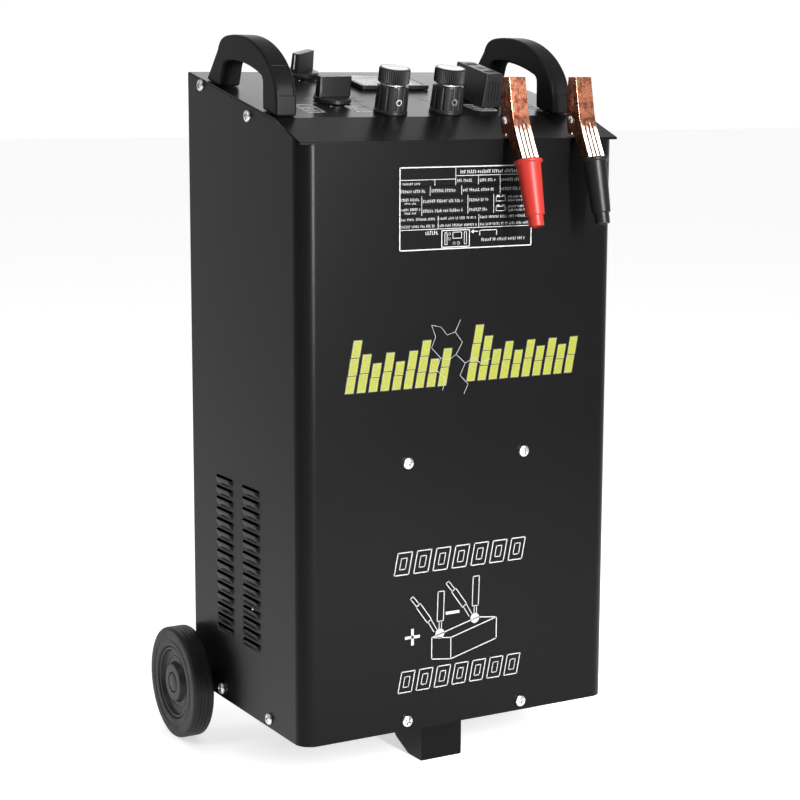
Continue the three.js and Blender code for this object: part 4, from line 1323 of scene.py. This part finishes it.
# %% Panel prints
panel_marks = []
LABELS = [((-113, -97), (19, 45)), ((-68, -49), (20, 40)), ((50, 71), (19, 41)), ((96, 117), (16, 39))]
for x, v in LABELS:
    panel_marks += frame_line(x, v, 1.3)
    panel_marks += rows_of_marks((x[0] + 2.5, x[1] - 1), v[0] + 4, 5.5, 1.1, 2.4)
    panel_marks += rows_of_marks((x[0] + 2.5, x[1] - 1), v[0] + 12.5, 5.5, 1.1, 2.4)
for x, v, angle in SELECTORS.values():
    for k in range(5):
        turn = math.radians(150 + 45 * k)
        spoke = Vector((math.cos(turn), math.sin(turn)))
        panel_marks += line([Vector((x, v)) + spoke * reach for reach in (19, 23)], 0.9)
panel_marks += line(arc((28, 64), 9, 70, 250, 12), 1.1)
panel_marks += rows_of_marks((-50, -42), 54, 6, 1, 2) + rows_of_marks((-49, -41), 66, 6, 1, 2)
piece("panel_prints", printed(panel_marks), WHITE_INK, "cabinet", PANEL)

scale_marks = []
for k in range(21):
    turn = math.radians(45 + 90 * k / 20)
    inner, width = (19.5, 0.6) if k % 5 == 0 else (21, 0.3)
    scale_marks.append((turn, inner, width))
scale_lines = [line([(r * math.cos(t), r * math.sin(t)) for r in (inner, 23)], width)[0]
               for t, inner, width in scale_marks]
scale_lines += line(arc((0, 0), 23, 45, 135, 30), 0.4)
scale = moved(printed(scale_lines, 0.08), Matrix.Translation((*NEEDLE_PIVOT, -4.7)))
piece("ammeter_scale", scale, BLACK_INK, "cabinet", PANEL)
print("panel prints", len(panel_marks), "scale", len(scale_lines))

# %% [markdown]
# The floor is a wide sheet of white paper, lit a little from below as on a light table, so shadows on
# it stay pale. The sky is plain white and brighter behind the object, where the sloped panel mirrors
# it. Black paint shows only what it reflects, so the lights are placed for their mirror images: a tall
# strip in front draws the line down the rounded corner, and a soft one behind lifts the panel.

# %% Floor
floor_mesh = bpy.data.meshes.new("floor")
floor_mesh.from_pydata([(-15, -15, 0), (15, -15, 0), (15, 15, 0), (-15, 15, 0)], [], [(0, 1, 2, 3)])
floor = bpy.data.objects.new("floor", floor_mesh)
bpy.context.scene.collection.objects.link(floor)
paper = Finish("floor_paper", Specular_IOR_Level=0.1, Emission_Color=(1, 1, 1), Emission_Strength=0.6)
paper.set(Base_Color=paper.blend(paper.noise(3, 2), (0.7, 0.7, 0.7), (0.72, 0.72, 0.72)), Roughness=0.9)
floor_mesh.materials.append(paper.material)

# %% World and lights
world = bpy.data.worlds.new("studio")
bpy.context.scene.world = world
world.use_nodes = True
sky = world.node_tree
background = sky.nodes["Background"]
background.inputs["Color"].default_value = (1, 1, 1, 1)
coordinate = sky.nodes.new("ShaderNodeTexCoord")
toward = sky.nodes.new("ShaderNodeVectorMath")
toward.operation = "DOT_PRODUCT"
toward.inputs[1].default_value = (0.35, 1, -0.6)
ramp = sky.nodes.new("ShaderNodeMapRange")
sky.links.new(coordinate.outputs["Generated"], toward.inputs[0])
sky.links.new(toward.outputs["Value"], ramp.inputs["Value"])
ramp.inputs["From Min"].default_value, ramp.inputs["From Max"].default_value = -0.6, 0.9
ramp.inputs["To Min"].default_value, ramp.inputs["To Max"].default_value = 0.3, 1.04
sky.links.new(ramp.outputs[0], background.inputs["Strength"])


def softbox(name, direction, distance, size, power, aim=(0, 0, 0.35)):
    """A soft light at that azimuth and elevation, in degrees; azimuth 0 is in front and 90 at the right."""
    azimuth, elevation = (math.radians(v) for v in direction)
    away = Vector((math.sin(azimuth) * math.cos(elevation), -math.cos(azimuth) * math.cos(elevation),
                   math.sin(elevation)))
    light = bpy.data.lights.new(name, "AREA")
    light.shape, light.energy = "RECTANGLE", power
    light.size, light.size_y = size
    lamp = bpy.data.objects.new(name, light)
    lamp.location = Vector(aim) + away * distance
    lamp.rotation_mode = "QUATERNION"
    lamp.rotation_quaternion = (-away).to_track_quat("-Z", "Y")
    lamp.visible_camera = False
    bpy.context.scene.collection.objects.link(lamp)


softbox("corner strip", (2, 16), 1.2, (0.06, 0.8), 42)
softbox("top front", (15, 15), 1.3, (0.4, 0.3), 12, (-0.1, 0, 0.5))
softbox("left", (-84, 34), 1.2, (0.3, 0.5), 3, (-0.1, 0, 0.5))
softbox("behind", (146, 15), 1.0, (0.7, 0.35), 1.8, (0, 0.1, 0.6))
softbox("overhead", (-60, 75), 3.0, (2.4, 2.4), 20)
bpy.context.scene.view_settings.view_transform = "Standard"
bpy.context.scene.view_settings.look = "None"
